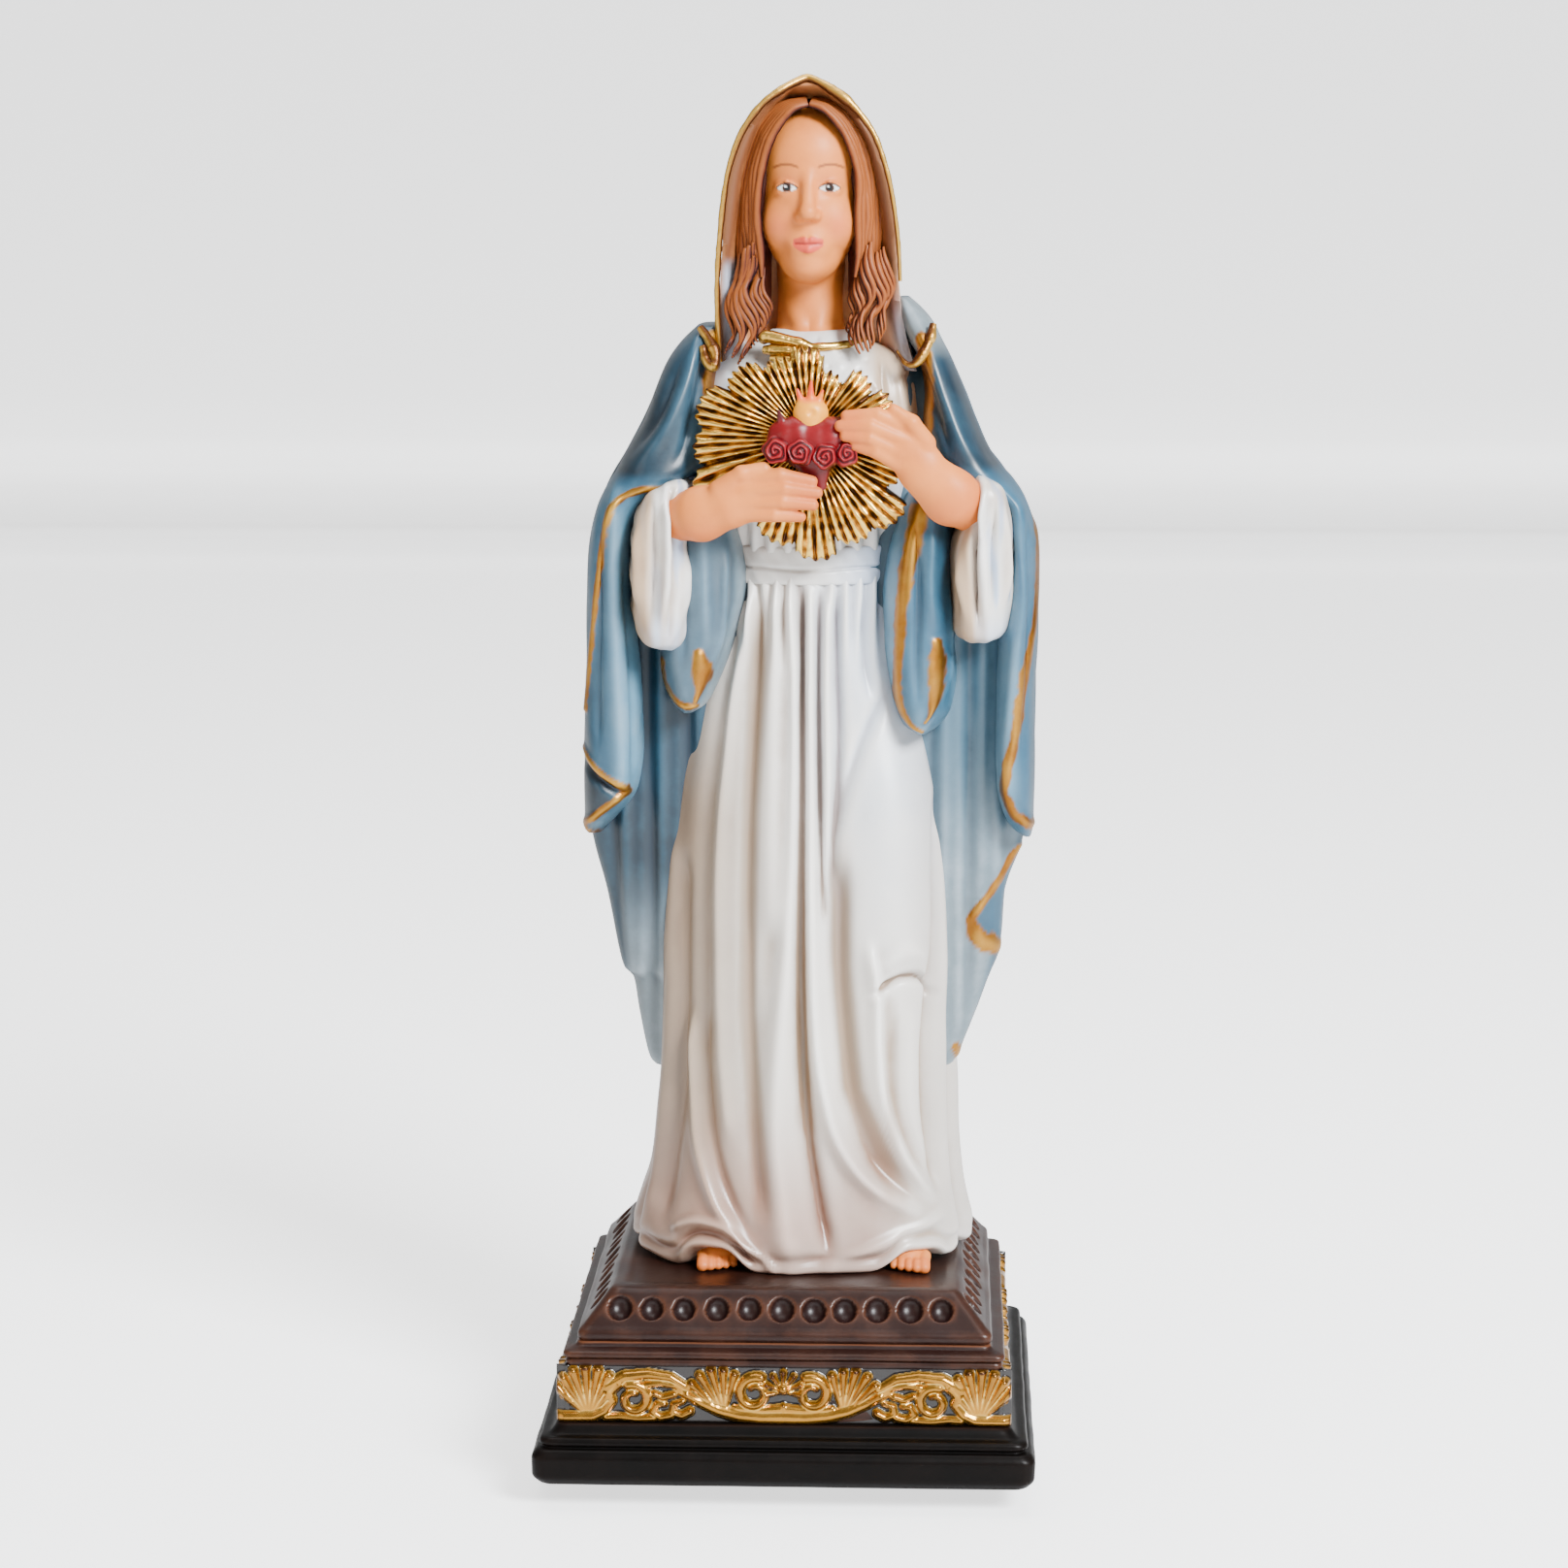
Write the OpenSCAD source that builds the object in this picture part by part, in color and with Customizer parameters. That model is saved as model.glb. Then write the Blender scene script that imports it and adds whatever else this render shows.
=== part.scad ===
// Madonna statuette on a square plinth.
// Millimetres, Z up, front towards -Y, origin at the middle of the plinth's underside.
// Right and left are the figure's own: its right hand is on the -X side.

/* [Plinth] */
// Width and depth of the bottom slab, mm
plinth_w = 50; // [46:0.5:54]
// Height of the bottom slab, mm
slab_h = 3.6; // [2:0.1:5]
// Corner radius of the slab, mm
corner_r = 1.2; // [0.5:0.1:2.5]
// Height of the plinth's top face, where the figure stands, mm
deck_z = 18.3; // [16:0.1:20]
// Dimples along each side of the top tier
dimple_n = 11; // [7:1:13]
// Diameter of each dimple, mm
dimple_d = 2.4; // [1.6:0.1:2.8]

/* [Joints] */
// Radius of the round spigots that centre the plinth's tiers, mm
spigot_r = 7; // [4:0.5:9]
// Radius of the tenon that holds the figure in the plinth, mm
tenon_r = 5; // [3:0.5:6]
// Radius of the peg between skirt, sash and bodice, mm
waist_peg_r = 3.2; // [2:0.1:4]
// Radius of the neck's peg, mm
neck_peg_r = 2.4; // [1.5:0.1:3]
// Radius of the peg at the elbow end of each forearm, mm
arm_peg_r = 1.6; // [1:0.1:2]
// Radius of the pin that holds the heart and its rays, mm
heart_pin_r = 0.9; // [0.6:0.1:1.4]
// Radial play of every peg in its socket, mm
play = 0.1; // [0.05:0.05:0.3]

/* [Figure] */
// Depth of the skirt's folds, mm
fold_depth = 0.45; // [0:0.05:0.8]
// Number of folds round the skirt
fold_n = 13; // [7:1:19]
// Points round each cloth section
round_n = 40; // [24:4:48]

/* [Hidden] */
foot_top = 5.8;
block_top = 12.4;
moulding_top = 13.5;
block_half = 21.7;
relief_t = 0.9;
skin_gap = 0.08;

// Body sections: height, left x, right x, front y, back y.
body_rows = [
    [18.35, -14.6, 15.6, -10.2, 9.6],
    [20.4, -16.4, 18.0, -11.6, 10.2],
    [26.5, -14.7, 17.0, -10.9, 9.6],
    [37, -13.7, 16.3, -10.4, 9.0],
    [49, -13.3, 16.2, -10.6, 8.6],
    [58, -12.5, 15.6, -10.0, 8.2],
    [66, -11.8, 14.9, -9.2, 8.0],
    [75, -9.9, 13.0, -8.4, 7.6],
    [82, -8.0, 11.4, -7.6, 7.0],
    [88.8, -6.4, 9.9, -6.8, 6.3],
    [91.4, -6.6, 10.1, -6.9, 6.3],
    [97, -8.6, 12.0, -8.0, 6.8],
    [102, -9.8, 13.2, -8.4, 7.0],
    [107, -9.6, 13.0, -7.2, 6.6],
    [110.6, -7.2, 10.6, -5.4, 5.8],
    [112.2, -3.4, 6.8, -3.6, 4.8]
];

// Outside of the mantle: height, left x, right x, front y, back y.
mantle_rows = [
    [38, -14.5, 16.9, -12, 11.4],
    [43, -16.3, 18.9, -12, 12.0],
    [50, -17.8, 21.3, -12, 12.6],
    [56, -18.9, 21.8, -12, 13.0],
    [61, -20.2, 23.6, -12, 13.2],
    [66, -21.0, 24.5, -12, 13.4],
    [80, -20.8, 24.6, -12, 13.4],
    [91, -20.5, 24.5, -12, 13.0],
    [97, -18.8, 22.2, -11.6, 12.2],
    [101, -16.5, 19.6, -11, 11.4],
    [104, -14.9, 18.5, -10.4, 10.6],
    [107, -13.6, 17.4, -9.6, 9.8],
    [110, -12.2, 16.0, -8.4, 8.8],
    [112.2, -10.4, 14.4, -7.4, 7.6]
];

// How far round to the front the mantle reaches, in degrees past the side.
mantle_wrap = [[38, 12], [56, 20], [66, 25], [92, 25], [99, 27], [103, 44], [112.2, 48]];

// Head sections.
head_rows = [
    [112.4, -1.9, 5.5, -4.2, 2.6],
    [116, -1.6, 5.2, -3.6, 2.6],
    [118.6, -1.4, 5.0, -5.4, 3.6],
    [120.4, -2.4, 6.0, -7.4, 4.8],
    [123.4, -3.2, 6.9, -8.2, 5.6],
    [127.4, -3.6, 7.3, -8.0, 6.0],
    [131, -3.3, 7.0, -7.2, 5.8],
    [133.6, -2.2, 5.9, -5.6, 4.9],
    [135.2, -0.6, 4.3, -3.4, 3.3]
];

// Outside of the hair.
hair_rows = [
    [114.5, -5.6, 9.0, -4.6, 5.4],
    [118.6, -5.7, 9.3, -6.2, 6.2],
    [123.4, -5.8, 9.4, -7.8, 7.2],
    [127.4, -5.5, 9.2, -8.2, 7.6],
    [131, -4.7, 8.3, -7.8, 7.2],
    [133.6, -3.6, 7.1, -6.8, 6.2],
    [135.6, -1.9, 5.4, -4.8, 4.6],
    [136.6, -0.2, 3.6, -2.6, 2.6]
];

// Outside of the veil.
veil_rows = [
    [112.4, -7.6, 11.0, -4.4, 7.0],
    [118, -8.0, 11.0, -6.0, 8.0],
    [123.4, -7.4, 10.8, -7.4, 8.8],
    [128.5, -6.5, 10.1, -7.8, 8.8],
    [131.6, -5.7, 9.2, -7.4, 8.2],
    [134.7, -4.0, 7.8, -6.0, 6.8],
    [136.6, -2.0, 5.8, -4.0, 4.8],
    [137.9, 0.6, 2.8, -1.4, 1.8]
];

function column(rows, k) = [for (r = rows) [r[0], r[k]]];
function flat_power(v, p) = sign(v) * pow(abs(v), p);

// Fold wave round the skirt, strongest at the hem and gone at the waist.
function fold(t, z) = fold_depth * sin(fold_n * t + 12 * sin(3 * z)) * min(1, max(0, (90 - z) / 30));

// One point of a section, grown outwards by g, folds included if wanted.
function section_point(rows, z, t, g, folds) =
    let (
        xl = lookup(z, column(rows, 1)),
        xr = lookup(z, column(rows, 2)),
        yf = lookup(z, column(rows, 3)),
        yb = lookup(z, column(rows, 4)),
        w = g + (folds ? fold(t, z) : 0),
        a = (xr - xl) / 2 + w,
        b = (sin(t) < 0 ? -yf : yb) + w
    )
    [(xl + xr) / 2 + a * flat_power(cos(t), 0.86), b * flat_power(sin(t), 0.86), z];

function ring(rows, z, g, folds) =
    [for (i = [0 : round_n - 1]) section_point(rows, z, 360 * i / round_n, g, folds)];

// A closed solid of rings stacked from bottom to top.
module ring_solid(rings) {
    n = len(rings[0]);
    m = len(rings);
    low = [for (k = [0 : 2]) (rings[0][0][k] + rings[0][floor(n / 2)][k]) / 2];
    high = [for (k = [0 : 2]) (rings[m - 1][0][k] + rings[m - 1][floor(n / 2)][k]) / 2];
    points = concat([for (r = rings) each r], [low, high]);
    sides = [for (i = [0 : m - 2]) for (j = [0 : n - 1])
        let (k = (j + 1) % n)
        each [
            [i * n + j, (i + 1) * n + k, i * n + k],
            [i * n + j, (i + 1) * n + j, (i + 1) * n + k]
        ]];
    bottom = [for (j = [0 : n - 1]) [m * n, j, (j + 1) % n]];
    top = [for (j = [0 : n - 1]) [m * n + 1, (m - 1) * n + (j + 1) % n, (m - 1) * n + j]];
    polyhedron(points, concat(sides, bottom, top));
}

// A closed solid between two sheets of points, each a list of rows.
module sheet_solid(outer, inner) {
    r = len(outer);
    c = len(outer[0]);
    n = r * c;
    points = concat([for (row = outer) each row], [for (row = inner) each row]);
    skins = [for (i = [0 : r - 2]) for (j = [0 : c - 2])
        let (p = i * c + j, q = (i + 1) * c + j)
        each [
            [p, q + 1, p + 1], [p, q, q + 1],
            [n + p, n + p + 1, n + q + 1], [n + p, n + q + 1, n + q]
        ]];
    ends = [for (i = [0 : r - 2])
        let (p = i * c, q = (i + 1) * c, u = p + c - 1, v = q + c - 1)
        each [[p, n + p, n + q], [p, n + q, q], [u, v, n + v], [u, n + v, n + u]]];
    e = (r - 1) * c;
    rims = [for (j = [0 : c - 2])
        each [
            [j, j + 1, n + j + 1], [j, n + j + 1, n + j],
            [e + j, n + e + j + 1, e + j + 1], [e + j, n + e + j, n + e + j + 1]
        ]];
    polyhedron(points, concat(skins, ends, rims));
}

// A round bar through points, with a radius at each one.
module limb(points, radii) {
    for (i = [0 : len(points) - 2]) {
        hull() {
            translate(points[i]) sphere(r = radii[i], $fn = 14);
            translate(points[i + 1]) sphere(r = radii[i + 1], $fn = 14);
        }
    }
}

// A square with rounded corners, as a 2D outline.
module soft_square(half, r) {
    polygon([for (c = [0 : 3]) for (k = [0 : 4])
        let (a = 90 * c + 22.5 * k, s = half - r, u = 45 + 90 * c)
        [s * sign(cos(u)) + r * cos(a), s * sign(sin(u)) + r * sin(a)]]);
}

module tier(half, r, z0, z1) {
    translate([0, 0, z0]) linear_extrude(z1 - z0) soft_square(half, r);
}

// ---- Plinth ----

module plinth_foot() {
    color([0.09, 0.06, 0.05]) union() {
        tier(plinth_w / 2 - 0.4, corner_r, 0, 0.4);
        tier(plinth_w / 2, corner_r, 0.4, slab_h);
        tier(plinth_w / 2 - 0.5, 1, slab_h, 4.7);
        tier(plinth_w / 2 - 1.4, 1, 4.7, foot_top);
        translate([0, 0, foot_top]) cylinder(r = spigot_r, h = 1.5, $fn = 64);
    }
}

module plinth_frieze_block() {
    color([0.16, 0.09, 0.07]) union() {
        difference() {
            tier(block_half, 0.6, foot_top, block_top);
            translate([0, 0, foot_top - 1]) cylinder(r = spigot_r + play, h = 2.6, $fn = 64);
        }
        translate([0, 0, block_top]) cylinder(r = spigot_r, h = 2.5, $fn = 64);
    }
}

module plinth_moulding() {
    color([0.20, 0.12, 0.09]) difference() {
        union() {
            tier(21.85, 0.8, block_top, 13);
            tier(21.1, 0.8, 13, moulding_top);
        }
        translate([0, 0, block_top - 1]) cylinder(r = spigot_r + play, h = 4, $fn = 64);
    }
}

// The sloping tier: a square frustum with a straight skirt below it.
module sloping_tier() {
    a = 20.5;
    b = 17.3;
    z0 = 14.9;
    tier(a, 0.6, moulding_top, z0);
    polyhedron(
        [[-a, -a, z0], [a, -a, z0], [a, a, z0], [-a, a, z0],
         [-b, -b, deck_z], [b, -b, deck_z], [b, b, deck_z], [-b, b, deck_z]],
        [[0, 1, 2, 3], [7, 6, 5, 4], [0, 4, 5, 1], [1, 5, 6, 2], [2, 6, 7, 3], [3, 7, 4, 0]]
    );
}

module plinth_top() {
    pitch = 3.3;
    color([0.28, 0.17, 0.14]) difference() {
        sloping_tier();
        for (side = [0 : 3]) {
            for (i = [0 : dimple_n - 1]) {
                rotate([0, 0, 90 * side]) translate([(i - (dimple_n - 1) / 2) * pitch, -19.15, 16.85])
                    sphere(r = dimple_d / 2, $fn = 24);
            }
        }
        translate([0, 0, moulding_top - 1]) cylinder(r = spigot_r + play, h = 2.5, $fn = 64);
        translate([0, 0, deck_z - 2.3]) cylinder(r = tenon_r + play, h = 4, $fn = 64);
    }
}

// One fluted shell, opening upwards, as a 2D outline.
module shell_outline(w, h) {
    for (i = [-2 : 2]) {
        a = 24 * i;
        polygon([[-0.35, 0], [h * sin(a) * w / h - 0.75 * cos(a), h * cos(a) * 0.92],
                 [h * sin(a) * w / h, h * cos(a)], [h * sin(a) * w / h + 0.75 * cos(a), h * cos(a) * 0.92],
                 [0.35, 0]]);
    }
}

// One volute: a ring round a small eye, with a leaf that links it to its neighbour.
module volute_outline(r) {
    difference() {
        circle(r = r, $fn = 32);
        circle(r = r * 0.62, $fn = 24);
    }
    circle(r = r * 0.34, $fn = 16);
    translate([-0.25, -r * 0.8]) square([0.5, r]);
}

// A run of gold scrollwork, with its lower edge at y = 0.
module scroll_outline(half) {
    translate([-half, 0]) square([2 * half, 0.7]);
    translate([0, 2.9]) circle(r = 1.0, $fn = 24);
    translate([-0.3, 0.5]) square([0.6, 2]);
    for (s = [-1, 1]) {
        translate([s * 2.9, 2.3]) volute_outline(1.75);
        translate([s * 7.3, 0.5]) shell_outline(2.6, 4.2);
        translate([s * 11.6, 1.6]) volute_outline(1.3);
        translate([s * 15.4, 2.5]) volute_outline(2.0);
        translate([s * (half - 2.6), 0.5]) shell_outline(2.4, 4.8);
    }
}

// A thin cast strip with the scrollwork standing on it.
module frieze_run(half) {
    translate([0, -block_half, foot_top + 0.05]) rotate([90, 0, 0]) union() {
        translate([-half, 0, 0]) cube([2 * half, 5.5, 0.35]);
        translate([0, 0, 0.2]) linear_extrude(relief_t - 0.2) scroll_outline(half);
    }
}

module frieze_front() {
    color([0.76, 0.58, 0.20]) frieze_run(block_half + relief_t);
}

module frieze_back() {
    color([0.76, 0.58, 0.20]) rotate([0, 0, 180]) frieze_run(block_half + relief_t);
}

module frieze_right() {
    color([0.76, 0.58, 0.20]) rotate([0, 0, 270]) frieze_run(block_half);
}

module frieze_left() {
    color([0.76, 0.58, 0.20]) rotate([0, 0, 90]) frieze_run(block_half);
}

// ---- Robe ----

module robe_skirt() {
    levels = [18.35, 20.4, 23, 26.5, 31, 37, 43, 49, 54, 58, 62, 66, 70.5, 75, 78.5, 82, 85.5, 88.8];
    color([0.90, 0.89, 0.89]) union() {
        difference() {
            ring_solid([for (z = levels) ring(body_rows, z, 0, true)]);
            foot_pocket(-7.2, -6.2);
            foot_pocket(11.6, -5.4);
        }
        translate([0, 0, deck_z - 2.1]) cylinder(r = tenon_r, h = 4, $fn = 48);
        translate([1.75, 0, 88.8]) cylinder(r = waist_peg_r, h = 5.5, $fn = 48);
    }
}

// The room a foot takes out of the hem.
module foot_pocket(x, y) {
    translate([x - 2.7, y - 8, 17]) cube([5.4, 11.2, 3.9]);
}

module sash() {
    color([0.93, 0.93, 0.95]) difference() {
        ring_solid([for (s = [[88.85, 0.3], [89.5, 0.75], [90.7, 0.75], [91.35, 0.3]])
            ring(body_rows, s[0], s[1], false)]);
        translate([1.75, 0, 88]) cylinder(r = waist_peg_r + play, h = 5, $fn = 48);
    }
}

module robe_bodice() {
    levels = [91.4, 94, 97, 99.5, 102, 104.5, 107, 109, 110.6, 112.2];
    color([0.92, 0.92, 0.94]) difference() {
        ring_solid([for (z = levels) ring(body_rows, z, 0, false)]);
        translate([1.75, 0, 91]) cylinder(r = waist_peg_r + play, h = 3.6, $fn = 48);
        translate([1.8, -0.6, 109]) cylinder(r = neck_peg_r + play, h = 4, $fn = 48);
        translate([2.3, -4.9, 102]) rotate([90, 0, 0]) cylinder(r = heart_pin_r + play, h = 6, $fn = 32);
    }
}

// A gold neckband with a small scroll at its front.
module collar_band() {
    color([0.76, 0.58, 0.22]) difference() {
        translate([2.4, -1.2, 112.3]) scale([1, 0.86, 1]) cylinder(r = 5.6, h = 1.1, $fn = 48);
        translate([2.4, -1.2, 112.0]) scale([1, 0.86, 1]) cylinder(r = 4.6, h = 2, $fn = 48);
    }
}

// ---- Head ----

module head() {
    levels = [112.4, 114.2, 116, 117.4, 118.6, 120.4, 122, 123.4, 125.4, 127.4, 129.4, 131, 132.4, 133.6, 135.2];
    color([0.91, 0.70, 0.55]) union() {
        ring_solid([for (z = levels) ring(head_rows, z, 0, false)]);
        translate([1.8, -0.6, 109.2]) cylinder(r = neck_peg_r, h = 4, $fn = 48);
        translate([1.85, -7.9, 124.6]) scale([0.8, 1.3, 1.6]) sphere(r = 1, $fn = 16);
    }
}

// What is cut away in front so that the face shows: an arch through the whole front.
module face_arch(w, z_top, y_back) {
    translate([1.85, y_back, 0]) rotate([90, 0, 0]) linear_extrude(20) union() {
        translate([-w, 108]) square([2 * w, z_top - w * 1.25 - 108]);
        translate([0, z_top - w * 1.25]) scale([1, 1.25]) circle(r = w, $fn = 48);
    }
}

module hair() {
    color([0.47, 0.28, 0.19]) difference() {
        ring_solid([for (r = hair_rows) ring(hair_rows, r[0], 0, false)]);
        ring_solid([for (r = head_rows) ring(head_rows, r[0], skin_gap, false)]);
        face_arch(5.0, 133.9, -1.2);
    }
}

module right_lock() {
    color([0.42, 0.24, 0.17]) ring_solid([for (k = [0 : 10])
        let (z = 109.6 + k * 0.72, r = 0.55 + 0.95 * sin(16 * k))
        [for (a = [0 : 30 : 330]) [-4.3 + 0.5 * sin(70 * k) + r * cos(a), -7.6 + 0.22 * k + r * 0.8 * sin(a), z]]]);
}

module left_lock() {
    color([0.42, 0.24, 0.17]) ring_solid([for (k = [0 : 10])
        let (z = 110.2 + k * 0.72, r = 0.55 + 0.95 * sin(16 * k))
        [for (a = [0 : 30 : 330]) [7.6 - 0.5 * sin(70 * k) + r * cos(a), -7.4 + 0.2 * k + r * 0.8 * sin(a), z]]]);
}

module veil() {
    color([0.80, 0.70, 0.55]) difference() {
        ring_solid([for (r = veil_rows) ring(veil_rows, r[0], 0, false)]);
        ring_solid([for (z = [111, 114.5, 118.6, 123.4, 127.4, 131, 133.6, 135.6, 136.6])
            ring(hair_rows, z, skin_gap, false)]);
        face_arch(7.3, 135.6, -3.4);
        translate([2.4, -1.2, 110]) cylinder(r = 5.8, h = 3.6, $fn = 48);
    }
}

// ---- Mantle ----

function mantle_sheet(rows, levels, g, t0, t1) =
    [for (z = levels)
        let (w = lookup(z, mantle_wrap))
        [for (k = [0 : 14])
            let (u = k / 14, s = t0 < 0 ? -w * (1 - u) + t1 * u : t0 * (1 - u) + (180 + w) * u)
            section_point(rows, z, s, g, z < 90 && g > 0)]];

mantle_levels = [38, 43, 47, 50, 56, 61, 66, 73, 80, 86, 91, 94, 97, 99, 101, 104, 107, 110, 112.2];

module mantle_back() {
    turns = [for (k = [0 : 26]) 6 + 168 * k / 26];
    outer = [for (z = mantle_levels) [for (t = turns)
        section_point(mantle_rows, z, t, 0.5 * sin(9 * t) * min(1, (114 - z) / 50), false)]];
    inner = [for (z = mantle_levels) [for (t = turns) section_point(body_rows, z, t, skin_gap, true)]];
    color([0.27, 0.46, 0.57]) sheet_solid(outer, inner);
}

module mantle_right_front() {
    outer = mantle_sheet(mantle_rows, mantle_levels, 0, 174.3, 0);
    inner = mantle_sheet(body_rows, mantle_levels, skin_gap, 174.3, 0);
    color([0.32, 0.52, 0.63]) sheet_solid(outer, inner);
}

module mantle_left_front() {
    outer = mantle_sheet(mantle_rows, mantle_levels, 0, -1, 5.7);
    inner = mantle_sheet(body_rows, mantle_levels, skin_gap, -1, 5.7);
    color([0.32, 0.52, 0.63]) sheet_solid(outer, inner);
}

// A tongue of the mantle that hangs in front of the robe.
module lappet(outline, y0, y1) {
    translate([0, y1, 0]) rotate([90, 0, 0]) linear_extrude(y1 - y0) polygon(outline);
}

module right_lappet() {
    color([0.36, 0.56, 0.67]) lappet([
        [-5.2, 90.6], [-6.0, 84], [-6.6, 78.5], [-8.2, 75.6], [-9.8, 75.0],
        [-11.6, 76.2], [-12.6, 78.6], [-11.6, 84], [-10.0, 90.6]
    ], -9.4, -7.9);
}

module left_lappet() {
    color([0.36, 0.56, 0.67]) lappet([
        [9.6, 92.0], [9.9, 84], [9.5, 78.6], [11.2, 75.0], [13.8, 73.4],
        [16.2, 75.6], [16.6, 79.8], [15.2, 86], [13.6, 92.0]
    ], -10.2, -8.7);
}

// ---- Arms ----

// A wide hanging sleeve: height, left x, right x, front y, back y.
module hanging_sleeve(rows) {
    ring_solid([for (r = rows) [for (i = [0 : 23])
        let (t = 15 * i)
        [(r[1] + r[2]) / 2 + (r[2] - r[1]) / 2 * flat_power(cos(t), 0.8),
         (r[3] + r[4]) / 2 + (r[4] - r[3]) / 2 * flat_power(sin(t), 0.8), r[0]]]]);
}

right_elbow = [-14.4, -8.6, 93.0];
right_wrist = [-8.6, -12.6, 94.9];
left_elbow = [19.4, -8.2, 96.2];
left_wrist = [14.4, -12.2, 99.4];

// A straight round bar from a to b.
module bar(a, b, r) {
    d = b - a;
    translate(a) rotate([0, acos(d[2] / norm(d)), atan2(d[1], d[0])]) cylinder(r = r, h = norm(d), $fn = 32);
}

module right_sleeve() {
    color([0.93, 0.93, 0.94]) difference() {
        hanging_sleeve([
            [82.3, -14.8, -10.8, -9.6, -6.9], [84, -15.6, -10.1, -10.6, -6.3], [88, -16.0, -9.9, -11.2, -6.0],
            [92, -16.3, -10.2, -11.6, -5.9], [95.5, -16.4, -10.6, -11.8, -6.0], [98.0, -15.2, -11.4, -10.6, -6.6]
        ]);
        bar(right_elbow, right_wrist, 2.6);
        bar(right_elbow - 0.28 * (right_wrist - right_elbow), right_elbow, arm_peg_r + play);
    }
}

module left_sleeve() {
    color([0.93, 0.93, 0.94]) difference() {
        hanging_sleeve([
            [82.9, 16.4, 20.0, -9.6, -6.9], [84.6, 15.4, 20.8, -10.6, -6.3], [88.6, 15.2, 21.2, -11.2, -6.0],
            [93, 15.6, 21.4, -11.6, -5.9], [97, 16.2, 21.6, -11.6, -6.0], [99.4, 17.4, 20.6, -10.6, -6.8]
        ]);
        bar(left_elbow, left_wrist, 2.7);
        bar(left_elbow - 0.28 * (left_wrist - left_elbow), left_elbow, arm_peg_r + play);
    }
}

module right_hand() {
    color([0.91, 0.68, 0.53]) union() {
        limb([right_elbow + [0.9, -0.6, 0.3], right_wrist, [-4.6, -13.6, 96.7]], [2.1, 2.0, 2.0]);
        limb([right_elbow - 0.22 * (right_wrist - right_elbow), right_elbow], [arm_peg_r, arm_peg_r]);
        limb([[-4.4, -13.4, 98.0], [-0.6, -14.6, 98.5], [2.4, -14.6, 98.2]], [1.1, 0.85, 0.65]);
        limb([[-4.3, -13.8, 97.2], [-0.4, -15.0, 97.3], [2.9, -15.0, 97.0]], [1.1, 0.85, 0.65]);
        limb([[-4.4, -13.8, 96.2], [-0.6, -15.0, 96.1], [2.5, -15.0, 95.8]], [1.1, 0.85, 0.65]);
        limb([[-4.6, -13.6, 95.3], [-1.2, -14.6, 95.1], [1.4, -14.6, 94.8]], [1.1, 0.8, 0.6]);
    }
}

module left_hand() {
    color([0.91, 0.68, 0.53]) union() {
        limb([left_elbow + [-0.8, -0.6, 0.5], left_wrist, [11.2, -13.6, 101.6]], [2.2, 2.1, 2.1]);
        limb([left_elbow - 0.22 * (left_wrist - left_elbow), left_elbow], [arm_peg_r, arm_peg_r]);
        limb([[11.2, -13.4, 103.3], [9.2, -14.4, 104.6], [7.6, -14.4, 105.1]], [1.1, 0.85, 0.65]);
        limb([[10.8, -13.8, 102.4], [8.6, -14.9, 103.6], [7.4, -15.0, 104.0]], [1.1, 0.85, 0.65]);
        limb([[10.4, -13.8, 101.4], [8.6, -14.9, 102.3], [7.4, -15.0, 102.7]], [1.1, 0.85, 0.65]);
        limb([[10.0, -13.6, 100.6], [8.4, -14.6, 101.1], [7.5, -14.6, 101.4]], [1.1, 0.8, 0.6]);
    }
}

// ---- Heart ----

// Star outline: bundles of rays with uneven reach.
ray_reach = [9.4, 8.2, 9.0, 7.6, 9.2, 8.4, 9.6, 8.6, 10.2, 8.8, 10.6, 9.0, 9.8, 8.4, 9.2, 8.0];

module ray_burst() {
    n = len(ray_reach);
    outline = [for (i = [0 : n - 1]) let (a = 90 + 360 * i / n, r = ray_reach[i]) each [
        [5.6 * cos(a - 11.25), 5.6 * sin(a - 11.25)],
        [r * 0.93 * cos(a - 7), r * 0.93 * sin(a - 7)],
        [r * cos(a), r * sin(a)],
        [r * 0.93 * cos(a + 7), r * 0.93 * sin(a + 7)]
    ]];
    color([0.78, 0.62, 0.25]) difference() {
        translate([1.4, -8.9, 101.4]) rotate([90, 0, 0]) linear_extrude(1.3) polygon(outline);
        translate([2.3, -8, 102]) rotate([90, 0, 0]) cylinder(r = heart_pin_r + play, h = 4, $fn = 32);
    }
}

module heart() {
    color([0.60, 0.12, 0.20]) union() {
        hull() {
            translate([0.5, -12.0, 103.2]) sphere(r = 1.75, $fn = 20);
            translate([4.1, -12.0, 103.2]) sphere(r = 1.75, $fn = 20);
            translate([2.3, -12.0, 100.2]) sphere(r = 0.8, $fn = 16);
        }
        translate([2.3, -5.2, 102]) rotate([90, 0, 0]) cylinder(r = heart_pin_r, h = 6, $fn = 32);
    }
}

// Four roses in a row, each a short round button that overlaps the next.
module rose_garland() {
    color([0.52, 0.09, 0.16]) union() {
        for (k = [0 : 3]) {
            translate([-0.9 + 2.15 * k, -13.8, 101.7 - 0.25 * k + 0.12 * k * k]) rotate([90, 0, 0])
                cylinder(r1 = 1.25, r2 = 0.85, h = 1.1 + 0.1 * k, $fn = 32);
        }
    }
}

module flame() {
    color([0.93, 0.66, 0.22]) ring_solid([
        for (r = [[105.0, 0.9], [105.6, 1.35], [106.4, 1.5], [107.2, 1.2], [108.0, 0.7], [109.0, 0.15]])
        [for (a = [0 : 30 : 330]) [2.0 + r[1] * cos(a), -11.9 + r[1] * 0.9 * sin(a), r[0]]]
    ]);
}

// ---- Feet ----

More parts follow.
